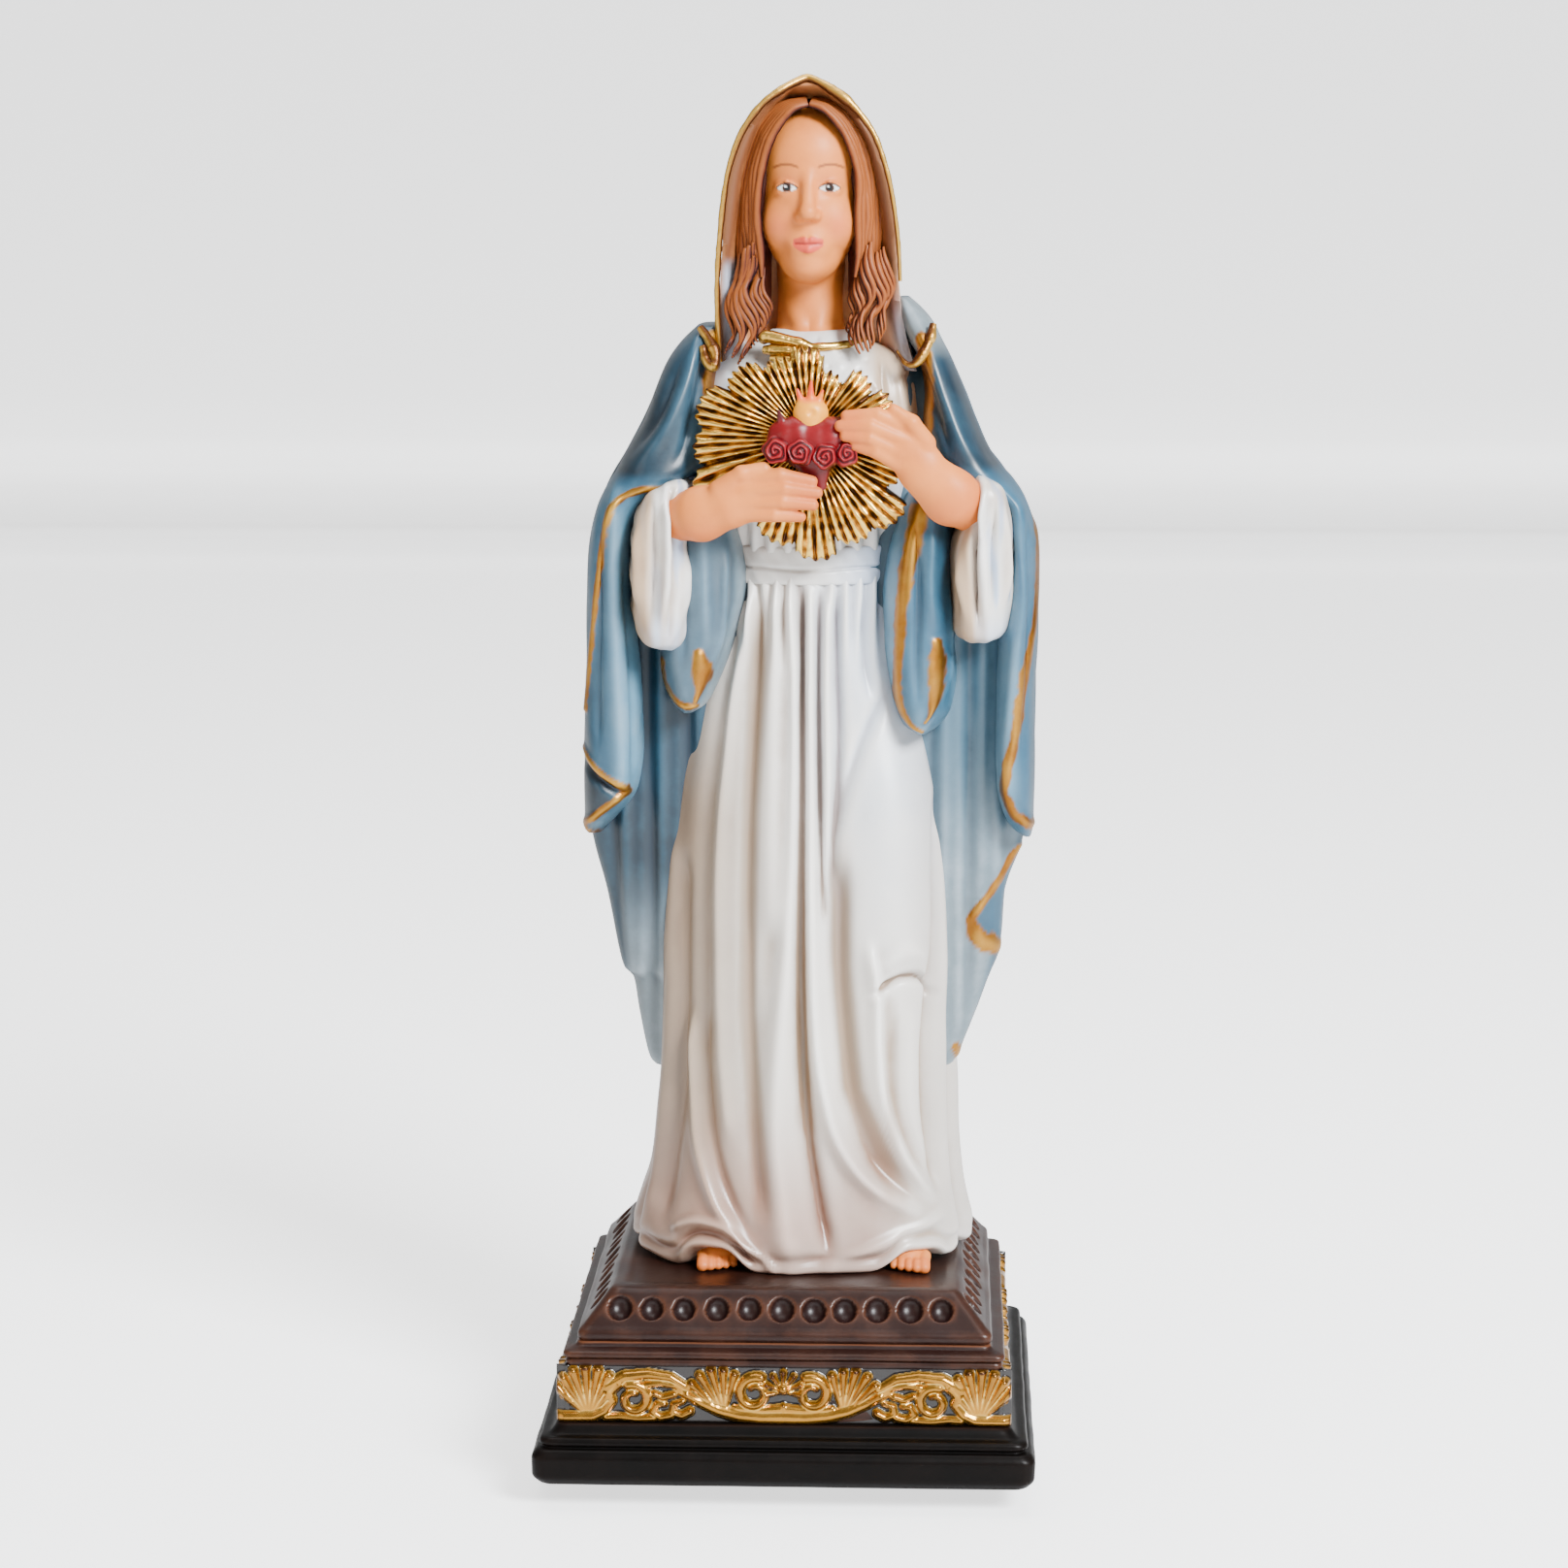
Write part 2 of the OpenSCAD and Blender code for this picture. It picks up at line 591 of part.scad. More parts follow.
module foot(x, y, turn) {
    translate([x, y, deck_z + 0.02]) rotate([0, 0, turn]) difference() {
        union() {
            hull() {
                translate([0, 1.2, 1.0]) sphere(r = 1.3, $fn = 16);
                translate([0, -4.6, 0.3]) scale([1.5, 1, 0.9]) sphere(r = 1.3, $fn = 16);
            }
            for (k = [0 : 4]) {
                translate([-1.7 + 0.8 * k, -5.9 + 0.12 * k, 0.45]) scale([1, 1.5, 1]) sphere(r = 0.5, $fn = 12);
            }
        }
        translate([-6, -12, -4]) cube([12, 20, 4]);
    }
}

module right_foot() {
    color([0.90, 0.68, 0.53]) foot(-7.2, -5.6, -6);
}

module left_foot() {
    color([0.90, 0.68, 0.53]) foot(11.6, -5.2, 8);
}

// ---- Assembly ----

plinth_foot();
plinth_frieze_block();
plinth_moulding();
plinth_top();
frieze_front();
frieze_back();
frieze_right();
frieze_left();
robe_skirt();
sash();
robe_bodice();
collar_band();
head();
hair();
right_lock();
left_lock();
veil();
mantle_back();
mantle_right_front();
mantle_left_front();
right_lappet();
left_lappet();
right_sleeve();
left_sleeve();
right_hand();
left_hand();
ray_burst();
heart();
rose_garland();
flame();
right_foot();
left_foot();
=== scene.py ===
# %% [markdown]
# # A painted madonna statuette
# The real object is a small cast-resin figure, painted by hand and varnished. The CAD model
# already gives every piece its place and size. This lesson gives each piece its sculpted
# surface and its paint. Two faults are open: the head's outline and many of the tables of
# points below have to be redrawn before they serve as an example.
# Lengths below are in millimetres, because that is how a mould maker thinks; one helper turns
# them into metres at the very end.

import math

import bmesh
import bpy
import numpy as np
import openvdb
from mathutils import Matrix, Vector


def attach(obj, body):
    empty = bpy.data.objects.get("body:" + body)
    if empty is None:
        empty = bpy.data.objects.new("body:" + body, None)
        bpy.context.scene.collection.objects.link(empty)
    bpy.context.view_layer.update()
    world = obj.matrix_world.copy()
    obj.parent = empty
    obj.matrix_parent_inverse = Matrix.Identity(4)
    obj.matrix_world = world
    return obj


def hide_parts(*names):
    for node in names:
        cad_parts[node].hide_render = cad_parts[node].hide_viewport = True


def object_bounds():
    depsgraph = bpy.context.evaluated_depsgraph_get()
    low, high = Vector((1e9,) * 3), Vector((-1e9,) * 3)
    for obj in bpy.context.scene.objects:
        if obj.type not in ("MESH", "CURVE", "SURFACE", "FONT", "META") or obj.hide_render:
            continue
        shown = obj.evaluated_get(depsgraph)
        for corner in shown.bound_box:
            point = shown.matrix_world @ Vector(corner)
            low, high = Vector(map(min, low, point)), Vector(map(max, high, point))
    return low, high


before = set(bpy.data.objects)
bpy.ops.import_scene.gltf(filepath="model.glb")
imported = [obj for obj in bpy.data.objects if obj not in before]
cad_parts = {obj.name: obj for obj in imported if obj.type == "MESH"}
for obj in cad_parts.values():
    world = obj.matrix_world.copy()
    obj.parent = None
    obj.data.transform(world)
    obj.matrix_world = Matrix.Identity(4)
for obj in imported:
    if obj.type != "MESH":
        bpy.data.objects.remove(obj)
cad_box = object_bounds()
MM = 0.001
print("CAD box, mm:", [[round(c / MM, 1) for c in corner] for corner in cad_box])

# %% [markdown]
# ## Camera, floor and light
# A product shot of a small statuette: the camera stands a little above the middle and looks
# slightly down. A curved pale sweep stands in for the tabletop, and three soft panels light it,
# the largest one cool and in front on the right, so that folds read as soft shade.

# %% Camera
aim = Vector((-0.0008, 0.0, 0.0667))
turn, tilt, reach = math.radians(2.25), math.radians(9.14), 0.415
camera_data = bpy.data.cameras.new("product_camera")
camera_data.lens = 93.14
camera_data.sensor_width = 36.0
camera_data.clip_start = 0.01
camera = bpy.data.objects.new("product_camera", camera_data)
camera.location = aim + reach * Vector(
    (math.sin(turn) * math.cos(tilt), -math.cos(turn) * math.cos(tilt), math.sin(tilt))
)
camera.rotation_euler = (aim - camera.location).to_track_quat("-Z", "Y").to_euler()
bpy.context.scene.collection.objects.link(camera)
bpy.context.scene.camera = camera
print("camera at, m:", [round(c, 4) for c in camera.location])

# %% Soft panels and pale surroundings
def soft_panel(name, place, size, power, tint):
    light = bpy.data.lights.new(name, "AREA")
    light.shape = "RECTANGLE"
    light.size, light.size_y = size
    light.energy = power
    light.color = tint
    panel = bpy.data.objects.new(name, light)
    panel.location = place
    aim_at = Vector((0, 0, 0.07)) - Vector(place)
    panel.rotation_euler = aim_at.to_track_quat("-Z", "Y").to_euler()
    bpy.context.scene.collection.objects.link(panel)
    return panel


soft_panel("key_panel", (0.36, -0.46, 0.46), (0.24, 0.24), 16.0, (0.94, 0.97, 1.0))
soft_panel("fill_panel", (-0.55, -0.40, 0.22), (0.5, 0.5), 1.3, (1.0, 0.88, 0.76))
soft_panel("top_panel", (0.0, 0.10, 0.70), (0.5, 0.5), 4.0, (1.0, 1.0, 1.0))
world = bpy.data.worlds.new("pale_room")
bpy.context.scene.world = world
world.use_nodes = True
world.node_tree.nodes["Background"].inputs["Color"].default_value = (1.0, 1.0, 1.0, 1.0)
world.node_tree.nodes["Background"].inputs["Strength"].default_value = 0.36
print("three panels and a pale room")

# %% [markdown]
# ## Tools of the bench
# Almost every cast surface here is a smooth skin through rows of guide points. `glide` runs a
# smooth curve through such rows, `skin` turns a grid of points into a closed mesh, and
# `raised_by` measures how far each spot stands above its surroundings. Painters of such
# figures leave the ridges pale and let a thin dark wash settle in the hollows. That measure is
# stored on the mesh, and the paints below read it: the ridges get a painted highlight and the
# hollows painted shade, which also stands for that wash.

# %% Smooth rows and waves
def glide(rows, count, closed=False):
    """A smooth curve through the rows (Catmull-Rom), resampled to count rows."""
    c = np.asarray(rows, float)
    r = len(c)
    t = np.linspace(0, r if closed else r - 1, count, endpoint=not closed)
    i = np.minimum(np.floor(t).astype(int), r - 1 if closed else r - 2)
    f = (t - i).reshape((-1,) + (1,) * (c.ndim - 1))

    def pick(k):
        return c[k % r] if closed else c[np.clip(k, 0, r - 1)]

    a, b, d, e = pick(i - 1), pick(i), pick(i + 1), pick(i + 2)
    return 0.5 * (2 * b + (d - a) * f + (2 * a - 5 * b + 4 * d - e) * f**2 + (3 * b - a - 3 * d + e) * f**3)


def at_height(table, z):
    """Columns of a table of heights, read at the heights z."""
    t = np.asarray(table, float)
    dense = glide(t, 60 * len(t))
    order = np.argsort(dense[:, 0])
    return [np.interp(z, dense[order, 0], dense[order, k]) for k in range(1, t.shape[1])]


def ease(low, high, v):
    """0 below low, 1 above high, and a soft step between them."""
    t = np.clip((np.asarray(v, float) - low) / (high - low), 0, 1)
    return t * t * (3 - 2 * t)


def ripple(points, pitch, seed):
    """Gentle unevenness of a hand-made surface, between about -1 and 1."""
    rng = np.random.default_rng(seed)
    total = np.zeros(points.shape[:-1])
    for k in range(7):
        way = rng.normal(size=3)
        way *= 2 * math.pi / (pitch * (0.7 + 0.25 * k) * np.linalg.norm(way))
        total += np.sin(points @ way + rng.uniform(0, 6.28)) / 3.2
    return total


# %% Meshes from grids
def soften(field, steps, wrap):
    f = np.array(field, float)
    for _ in range(steps):
        if wrap:
            f = 0.5 * f + 0.25 * (np.roll(f, 1, 1) + np.roll(f, -1, 1))
        else:
            g = np.concatenate([f[:, :1], f, f[:, -1:]], 1)
            f = 0.5 * f + 0.25 * (g[:, 2:] + g[:, :-2])
        g = np.concatenate([f[:1], f, f[-1:]], 0)
        f = 0.5 * f + 0.25 * (g[2:] + g[:-2])
    return f


def grid_normals(grid, wrap):
    across = (np.roll(grid, -1, 1) - np.roll(grid, 1, 1)) if wrap else np.gradient(grid, axis=1)
    along = np.gradient(grid, axis=0)
    n = np.cross(across, along)
    return n / np.maximum(np.linalg.norm(n, axis=2, keepdims=True), 1e-9)


def raised_by(grid, wrap, steps=30):
    """Height of each spot over its softened surroundings, in mm."""
    lift = grid - soften(grid, steps, wrap)
    return np.sum(lift * grid_normals(grid, wrap), axis=2)


def cast_mesh(name, points, faces, paint, marks=None, tidy=True):
    """A mesh object from points in mm, faces, one paint and named marks on its points."""
    mesh = bpy.data.meshes.new(name)
    mesh.vertices.add(len(points))
    mesh.vertices.foreach_set("co", (np.asarray(points, float) * MM).ravel())
    flat = np.concatenate([np.asarray(f, int).ravel() for f in faces])
    sizes = np.concatenate([np.full(len(f), np.asarray(f).shape[1]) for f in faces])
    mesh.loops.add(len(flat))
    mesh.loops.foreach_set("vertex_index", flat)
    mesh.polygons.add(len(sizes))
    mesh.polygons.foreach_set("loop_start", np.concatenate([[0], np.cumsum(sizes)[:-1]]))
    mesh.update(calc_edges=True)
    mesh.validate()
    mesh.polygons.foreach_set("use_smooth", np.ones(len(mesh.polygons), bool))
    for mark, values in (marks or {}).items():
        values = np.asarray(values, float)
        if values.ndim == 2:
            layer = mesh.attributes.new(mark, "FLOAT_COLOR", "POINT")
            layer.data.foreach_set("color", np.c_[values, np.ones(len(values))].ravel())
        else:
            mesh.attributes.new(mark, "FLOAT", "POINT").data.foreach_set("value", values)
    if tidy:
        work = bmesh.new()
        work.from_mesh(mesh)
        bmesh.ops.recalc_face_normals(work, faces=work.faces)
        work.to_mesh(mesh)
        work.free()
    mesh.materials.append(paint)
    piece = bpy.data.objects.new(name, mesh)
    bpy.context.scene.collection.objects.link(piece)
    return piece


def grid_faces(rows, cols, wrap, start=0):
    i = np.arange(rows - 1)[:, None]
    j = np.arange(cols if wrap else cols - 1)[None, :]
    k = (j + 1) % cols
    quads = np.stack([i * cols + j, i * cols + k, (i + 1) * cols + k, (i + 1) * cols + j], -1)
    return quads.reshape(-1, 4) + start


def skin(name, grid, paint, marks=None, steps=30):
    """A closed solid from rings stacked in rows, with its two ends filled."""
    rows, cols, _ = grid.shape
    ridge = raised_by(grid, True, steps)
    points = np.vstack([grid.reshape(-1, 3), grid[0].mean(0), grid[-1].mean(0)])
    j = np.arange(cols)
    k = (j + 1) % cols
    low, high = rows * cols, rows * cols + 1
    top = (rows - 1) * cols
    caps = np.vstack([np.c_[np.full(cols, low), k, j], np.c_[np.full(cols, high), top + j, top + k]])
    every = {"ridge": np.r_[ridge.ravel(), 0, 0]}
    for mark, values in (marks or {}).items():
        values = np.asarray(values, float)
        flat = values.reshape(-1, values.shape[-1]) if values.ndim == 3 else values.ravel()
        ends = [flat[: cols].mean(0), flat[-cols:].mean(0)]
        every[mark] = np.vstack([flat, ends]) if values.ndim == 3 else np.r_[flat, ends]
    return cast_mesh(name, points, [grid_faces(rows, cols, True), caps], paint, every)


def keep(piece, finish, *nodes):
    """Every piece rides on the one body and stands for its CAD nodes; finish is not used."""
    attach(piece, "root")
    if nodes:
        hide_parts(*nodes)
    print(f"{piece.name}: {len(piece.data.polygons)} faces")
    return piece


# %% [markdown]
# ## Paints
# Every finish is the same resin paint with other values: a base coat, a dark colour that stays in
# the hollows as painted shade and as a wash, a highlight dry-brushed on the ridges that is also a
# painted highlight, and slight mottling by hand. That shared part is one node group. The shader
# itself stays in each material, where gloss is set on its own socket.

# %% The shared hand-painted effect
def colour(r, g, b):
    """A paint as the eye sees it, from 0 to 255, as light values, a little deeper and fuller."""
    return tuple((((c / 255 + 0.055) / 1.055) ** 2.4) ** 1.32 if c > 10 else (c / 255 / 12.92)
        for c in (r, g, b)) + (1.0,)


def hand_paint_group():
    group = bpy.data.node_groups.new("Hand-painted resin", "ShaderNodeTree")
    wants = [
        ("Base Coat", "NodeSocketColor", None), ("Hollow Glaze And Shade", "NodeSocketColor", None),
        ("Ridge Highlight", "NodeSocketColor", None), ("Ridge", "NodeSocketFloat", 0.0),
        ("Ridge Range", "NodeSocketFloat", 0.25), ("Mottle Amount", "NodeSocketFloat", 0.15),
        ("Mottle Scale", "NodeSocketFloat", 400.0), ("Brush Grain", "NodeSocketFloat", 0.3),
    ]
    for name, kind, value in wants:
        socket = group.interface.new_socket(name, in_out="INPUT", socket_type=kind)
        if value is not None:
            socket.default_value = value
    group.interface.new_socket("Colour", in_out="OUTPUT", socket_type="NodeSocketColor")
    group.interface.new_socket("Roughness Shift", in_out="OUTPUT", socket_type="NodeSocketFloat")
    group.interface.new_socket("Height", in_out="OUTPUT", socket_type="NodeSocketFloat")
    new, join = group.nodes.new, group.links.new
    inside, outside = new("NodeGroupInput"), new("NodeGroupOutput")
    place = new("ShaderNodeTexCoord")

    def sum_of(kind, a, b, clamp=False):
        node = new("ShaderNodeMath")
        node.operation = kind
        node.use_clamp = clamp
        for socket, value in zip(node.inputs, (a, b)):
            if isinstance(value, (int, float)):
                socket.default_value = value
            else:
                join(value, socket)
        return node.outputs[0]

    mottle = new("ShaderNodeTexNoise")
    mottle.inputs["Detail"].default_value = 5.0
    mottle.inputs["Roughness"].default_value = 0.62
    join(place.outputs["Object"], mottle.inputs["Vector"])
    join(inside.outputs["Mottle Scale"], mottle.inputs["Scale"])
    grain = new("ShaderNodeTexNoise")
    grain.inputs["Scale"].default_value = 2600.0
    grain.inputs["Detail"].default_value = 3.0
    join(place.outputs["Object"], grain.inputs["Vector"])
    wander = sum_of("MULTIPLY", sum_of("SUBTRACT", mottle.outputs["Fac"], 0.5), 1.1)
    level = sum_of("ADD", sum_of("DIVIDE", inside.outputs["Ridge"], inside.outputs["Ridge Range"]), wander)
    hollow = sum_of("MULTIPLY", level, -1.0, True)
    raised = sum_of("MULTIPLY", level, 1.0, True)

    def blend(a, b, amount, kind="MIX"):
        node = new("ShaderNodeMix")
        node.data_type = "RGBA"
        node.blend_type = kind
        for socket, value in ((node.inputs[6], a), (node.inputs[7], b), (node.inputs[0], amount)):
            if isinstance(value, (int, float)):
                socket.default_value = value
            elif isinstance(value, tuple):
                socket.default_value = value
            else:
                join(value, socket)
        return node.outputs[2]

    # Painted light: a low ridge mark pulls the colour to the hollow colour, painted shade in the hollows, and
    # a high one to the ridge colour, a painted highlight.
    coat = blend(inside.outputs["Base Coat"], inside.outputs["Hollow Glaze And Shade"], hollow)
    coat = blend(coat, inside.outputs["Ridge Highlight"], raised)
    dim = sum_of("MULTIPLY", mottle.outputs["Fac"], inside.outputs["Mottle Amount"])
    coat = blend(coat, inside.outputs["Hollow Glaze And Shade"], dim)
    join(coat, outside.inputs["Colour"])
    join(sum_of("MULTIPLY", wander, 0.12), outside.inputs["Roughness Shift"])
    bumps = sum_of("MULTIPLY", grain.outputs["Fac"], inside.outputs["Brush Grain"])
    join(sum_of("ADD", mottle.outputs["Fac"], bumps), outside.inputs["Height"])
    return group


HAND_PAINT = hand_paint_group()
print("shared effect:", HAND_PAINT.name, "with", len(HAND_PAINT.nodes), "nodes")

# %% One resin paint
def resin_paint(name, base, glaze_and_shade, light, rough=0.42, coat=0.15, metal=0.0, spread=0.25, mottle=0.15,
                scale=400.0, grain=0.3, bump=0.12, tint=None, shine=0.5, metal_mark=None):
    """A painted finish. tint names the colour marks that replace the three colours, and
    metal_mark the mark that says where metallic paint lies."""
    paint = bpy.data.materials.new(name)
    paint.use_nodes = True
    tree = paint.node_tree
    shader = tree.nodes["Principled BSDF"]
    group = tree.nodes.new("ShaderNodeGroup")
    group.node_tree = HAND_PAINT
    group.inputs["Base Coat"].default_value = base
    group.inputs["Hollow Glaze And Shade"].default_value = glaze_and_shade
    group.inputs["Ridge Highlight"].default_value = light
    group.inputs["Ridge Range"].default_value = spread
    group.inputs["Mottle Amount"].default_value = mottle
    group.inputs["Mottle Scale"].default_value = scale
    group.inputs["Brush Grain"].default_value = grain
    ridge = tree.nodes.new("ShaderNodeAttribute")
    ridge.attribute_name = "ridge"
    tree.links.new(ridge.outputs["Fac"], group.inputs["Ridge"])
    if tint:
        for mark, socket in ((tint, "Base Coat"), (tint + "_glaze", "Hollow Glaze And Shade"),
                (tint + "_light", "Ridge Highlight")):
            read = tree.nodes.new("ShaderNodeAttribute")
            read.attribute_name = mark
            tree.links.new(read.outputs["Color"], group.inputs[socket])
    tree.links.new(group.outputs["Colour"], shader.inputs["Base Color"])
    level = tree.nodes.new("ShaderNodeMath")
    level.operation = "ADD"
    level.inputs[1].default_value = rough
    level.use_clamp = True
    tree.links.new(group.outputs["Roughness Shift"], level.inputs[0])
    tree.links.new(level.outputs[0], shader.inputs["Roughness"])
    shader.inputs["Metallic"].default_value = metal
    if metal_mark:
        read = tree.nodes.new("ShaderNodeAttribute")
        read.attribute_name = metal_mark
        tree.links.new(read.outputs["Fac"], shader.inputs["Metallic"])
    shader.inputs["Coat Weight"].default_value = coat
    shader.inputs["Coat Roughness"].default_value = 0.22
    shader.inputs["Specular IOR Level"].default_value = shine
    relief = tree.nodes.new("ShaderNodeBump")
    relief.inputs["Strength"].default_value = bump
    relief.inputs["Distance"].default_value = 0.0002
    tree.links.new(group.outputs["Height"], relief.inputs["Height"])
    tree.links.new(relief.outputs["Normal"], shader.inputs["Normal"])
    return paint


def three_tints(base, glaze_and_shade, light):
    """Marks for a tinted paint: base coat, its hollow colour (painted shade and wash) and its painted
    highlight, one colour per point.
    """
    return {"tint": base, "tint_glaze": glaze_and_shade, "tint_light": light}


def blend_rows(low, high, amount):
    """Mix two colours (or colour rows) by an amount per point."""
    amount = np.asarray(amount)[..., None]
    return np.asarray(low)[..., :3] * (1 - amount) + np.asarray(high)[..., :3] * amount


BLACK_VARNISH = resin_paint("black varnish", colour(22, 15, 13), colour(12, 8, 7), colour(46, 32, 27),
                            rough=0.4, coat=0.02, spread=0.5, mottle=0.3, scale=260, bump=0.1, shine=0.08)
BROWN_VARNISH = resin_paint("brown varnish", colour(60, 36, 25), colour(24, 13, 9), colour(122, 82, 58),
                            rough=0.38, coat=0.08, spread=0.28, mottle=0.5, scale=230, bump=0.14, shine=0.22)
GOLD = resin_paint("gold paint", colour(196, 146, 58), colour(94, 58, 20), colour(248, 214, 124),
                   rough=0.25, coat=0.2, metal=0.9, spread=0.24, mottle=0.25, scale=700, bump=0.25)
OLD_GOLD = resin_paint("brushed gold line", colour(176, 130, 56), colour(110, 70, 28), colour(226, 188, 100),
                       rough=0.36, coat=0.1, metal=0.75, spread=0.1, mottle=0.5, scale=900, bump=0.4)
ROBE = resin_paint("pearl white robe", colour(226, 221, 222), colour(168, 150, 146), colour(246, 246, 250),
                   rough=0.36, coat=0.2, spread=0.42, mottle=0.12, scale=160, tint="tint", bump=0.06)
print("paints:", len([m for m in bpy.data.materials if m.use_nodes]))

# %% Floor
def make_sweep():
    """A pale floor that curves up far behind the statuette and looks bright to the camera."""
    line = [(-4.0, 0.0), (0.4, 0.0), (0.8, 0.05), (1.2, 0.25), (1.4, 0.6), (1.45, 1.8)]
    profile = glide(line, 60)
    grid = np.stack([np.stack([np.full(60, x), profile[:, 0], profile[:, 1]], 1) for x in (-4.0, 4.0)], 1)
    white = bpy.data.materials.new("pale floor")
    white.use_nodes = True
    shader = white.node_tree.nodes["Principled BSDF"]
    shader.inputs["Base Color"].default_value = (0.9, 0.9, 0.9, 1)
    shader.inputs["Roughness"].default_value = 0.7
    seen = white.node_tree.nodes.new("ShaderNodeLightPath")
    glow = white.node_tree.nodes.new("ShaderNodeMath")
    glow.operation = "MULTIPLY"
    glow.inputs[1].default_value = 1.6
    white.node_tree.links.new(seen.outputs["Is Camera Ray"], glow.inputs[0])
    white.node_tree.links.new(glow.outputs[0], shader.inputs["Emission Strength"])
    shader.inputs["Emission Color"].default_value = (1.0, 1.0, 1.0, 1.0)
    sweep = cast_mesh("pale_sweep", grid.reshape(-1, 3) / MM, [grid_faces(60, 2, False)], white, tidy=False)
    sweep.location.z = cad_box[0][2] - 0.00002
    return sweep


make_sweep()
print("floor set")

# %% [markdown]
# ## The plinth
# On the real object the plinth is a stack of square mouldings. A turned part is made by
# sweeping a profile round an axis; here the same is done round a square with soft corners.
# The rings are dense enough to press the row of round dimples into the sloping tier, and a
# gentle ripple keeps the edges from looking machined.

# %% Square turning
def square_rings(profile, corner, per_side=60, arc=6):
    """Rings of a soft square for each (half width, height) of the profile."""
    rows = []
    for half, z in profile:
        r = min(corner, half * 0.9)
        side = np.stack([np.linspace(-1, 1, per_side) * (half - r), np.full(per_side, -half)], 1)
        a = np.radians(np.linspace(-90, 0, arc + 2)[1:-1])
        bend = np.stack([half - r + r * np.cos(a), -(half - r) + r * np.sin(a)], 1)
        quarter = np.vstack([side, bend])
        ring = [quarter]
        for _ in range(3):
            last = ring[-1]
            ring.append(np.stack([-last[:, 1], last[:, 0]], 1))
        ring = np.vstack(ring)
        rows.append(np.c_[ring, np.full(len(ring), z)])
    return np.array(rows)


def moulded_tier(name, profile, corner, paint, steps=6, wobble=0.04, seed=1):
    rings = square_rings(profile, corner)
    out = rings[..., :2] / np.maximum(np.abs(rings[..., :2]).max(-1, keepdims=True), 1)
    rings[..., :2] += out * wobble * ripple(rings, 7.0, seed)[..., None]
    return skin(name, rings, paint, steps=steps)


def rounded_profile(corners, radius, steps=5):
    """A profile polyline with each inner corner eased by a small radius."""
    p = np.asarray(corners, float)
    out = [p[0]]
    for k in range(1, len(p) - 1):
        before, after = p[k - 1] - p[k], p[k + 1] - p[k]
        r = min(radius, np.linalg.norm(before) * 0.45, np.linalg.norm(after) * 0.45)
        a = p[k] + before / np.linalg.norm(before) * r
        b = p[k] + after / np.linalg.norm(after) * r
        for t in np.linspace(0, 1, steps):
            out.append((1 - t) ** 2 * a + 2 * t * (1 - t) * p[k] + t * t * b)
    out.append(p[-1])
    return np.array(out)


foot_profile = rounded_profile(
    [(2, 0), (24.2, 0), (24.95, 0.9), (25.0, 3.0), (24.5, 3.65), (23.9, 3.75), (24.3, 4.15), (24.1, 4.75),
     (23.3, 4.85), (22.9, 5.25), (22.5, 5.85), (2, 5.85)], 0.35)
keep(moulded_tier("plinth_foot_cast", foot_profile, 1.3, BLACK_VARNISH, seed=3),
    "plinth_black", "plinth_foot")
block_profile = rounded_profile(
    [(2, 5.75), (21.6, 5.75), (21.7, 6.2), (21.65, 11.4), (21.75, 12.0), (21.3, 12.5), (2, 12.5)], 0.3)
keep(moulded_tier("plinth_block_cast", block_profile, 0.8, BROWN_VARNISH, seed=4), "plinth_black",
     "plinth_frieze_block")
moulding_profile = rounded_profile(
    [(2, 12.2), (21.4, 12.2), (21.95, 12.45), (21.9, 12.95), (21.2, 13.15), (20.7, 13.3),
    (20.5, 13.7), (2, 13.7)], 0.25)
keep(moulded_tier("plinth_moulding_cast", moulding_profile, 0.9, BROWN_VARNISH, seed=5), "plinth_brown",
     "plinth_moulding")

# %% The dimpled tier
def dimpled_tier():
    edge = rounded_profile([(2, 13.5), (20.3, 13.5), (20.65, 13.95), (20.6, 14.65), (20.1, 15.1)], 0.3)
    slope = np.stack([np.linspace(20.05, 17.7, 34), np.linspace(15.15, 17.85, 34)], 1)
    crown = rounded_profile([(17.65, 17.9), (17.2, 18.32), (16.3, 18.42), (15.6, 18.3),
        (15.0, 18.28), (2, 18.3)], 0.35)
    profile = np.vstack([edge, slope, crown])
    rings = square_rings(profile, 0.9, per_side=175, arc=5)
    rng = np.random.default_rng(11)
    press = np.zeros(rings.shape[:2])
    for side in range(4):
        c, s = math.cos(math.pi / 2 * side), math.sin(math.pi / 2 * side)
        along = rings[..., 0] * c + rings[..., 1] * s
        out = rings[..., 0] * s - rings[..., 1] * c
        climb = (rings[..., 2] - 15.1) / 0.74
        for k in range(11):
            middle = -16.35 + 3.2 * k + rng.uniform(-0.12, 0.12)
            size = 1.22 * rng.uniform(0.9, 1.06)
            d = np.hypot((along - middle) / size, (climb - 2.1 + rng.uniform(-0.1, 0.1)) / (size * 1.15))
            d = np.where(out > np.abs(along) + 0.2, d, 9.0)
            press += -1.0 * np.sqrt(np.clip(1 - d**2, 0, 1))
    way = rings.copy()
    way[..., :2] = np.where(np.abs(rings[..., :2]) > 0.985 * np.abs(rings[..., :2]).max(-1, keepdims=True),
                            np.sign(rings[..., :2]), 0.0)
    way[..., 2] = 0.9
    way /= np.linalg.norm(way, axis=-1, keepdims=True)
    rings += way * (press + 0.05 * ripple(rings, 6.0, 8))[..., None]
    # The pits sit low on the ridge mark, so the paint darkens them as painted shade.
    return skin("plinth_top_cast", rings, BROWN_VARNISH, steps=5)


keep(dimpled_tier(), "plinth_brown", "plinth_top")
print("dimples on each side: 11")

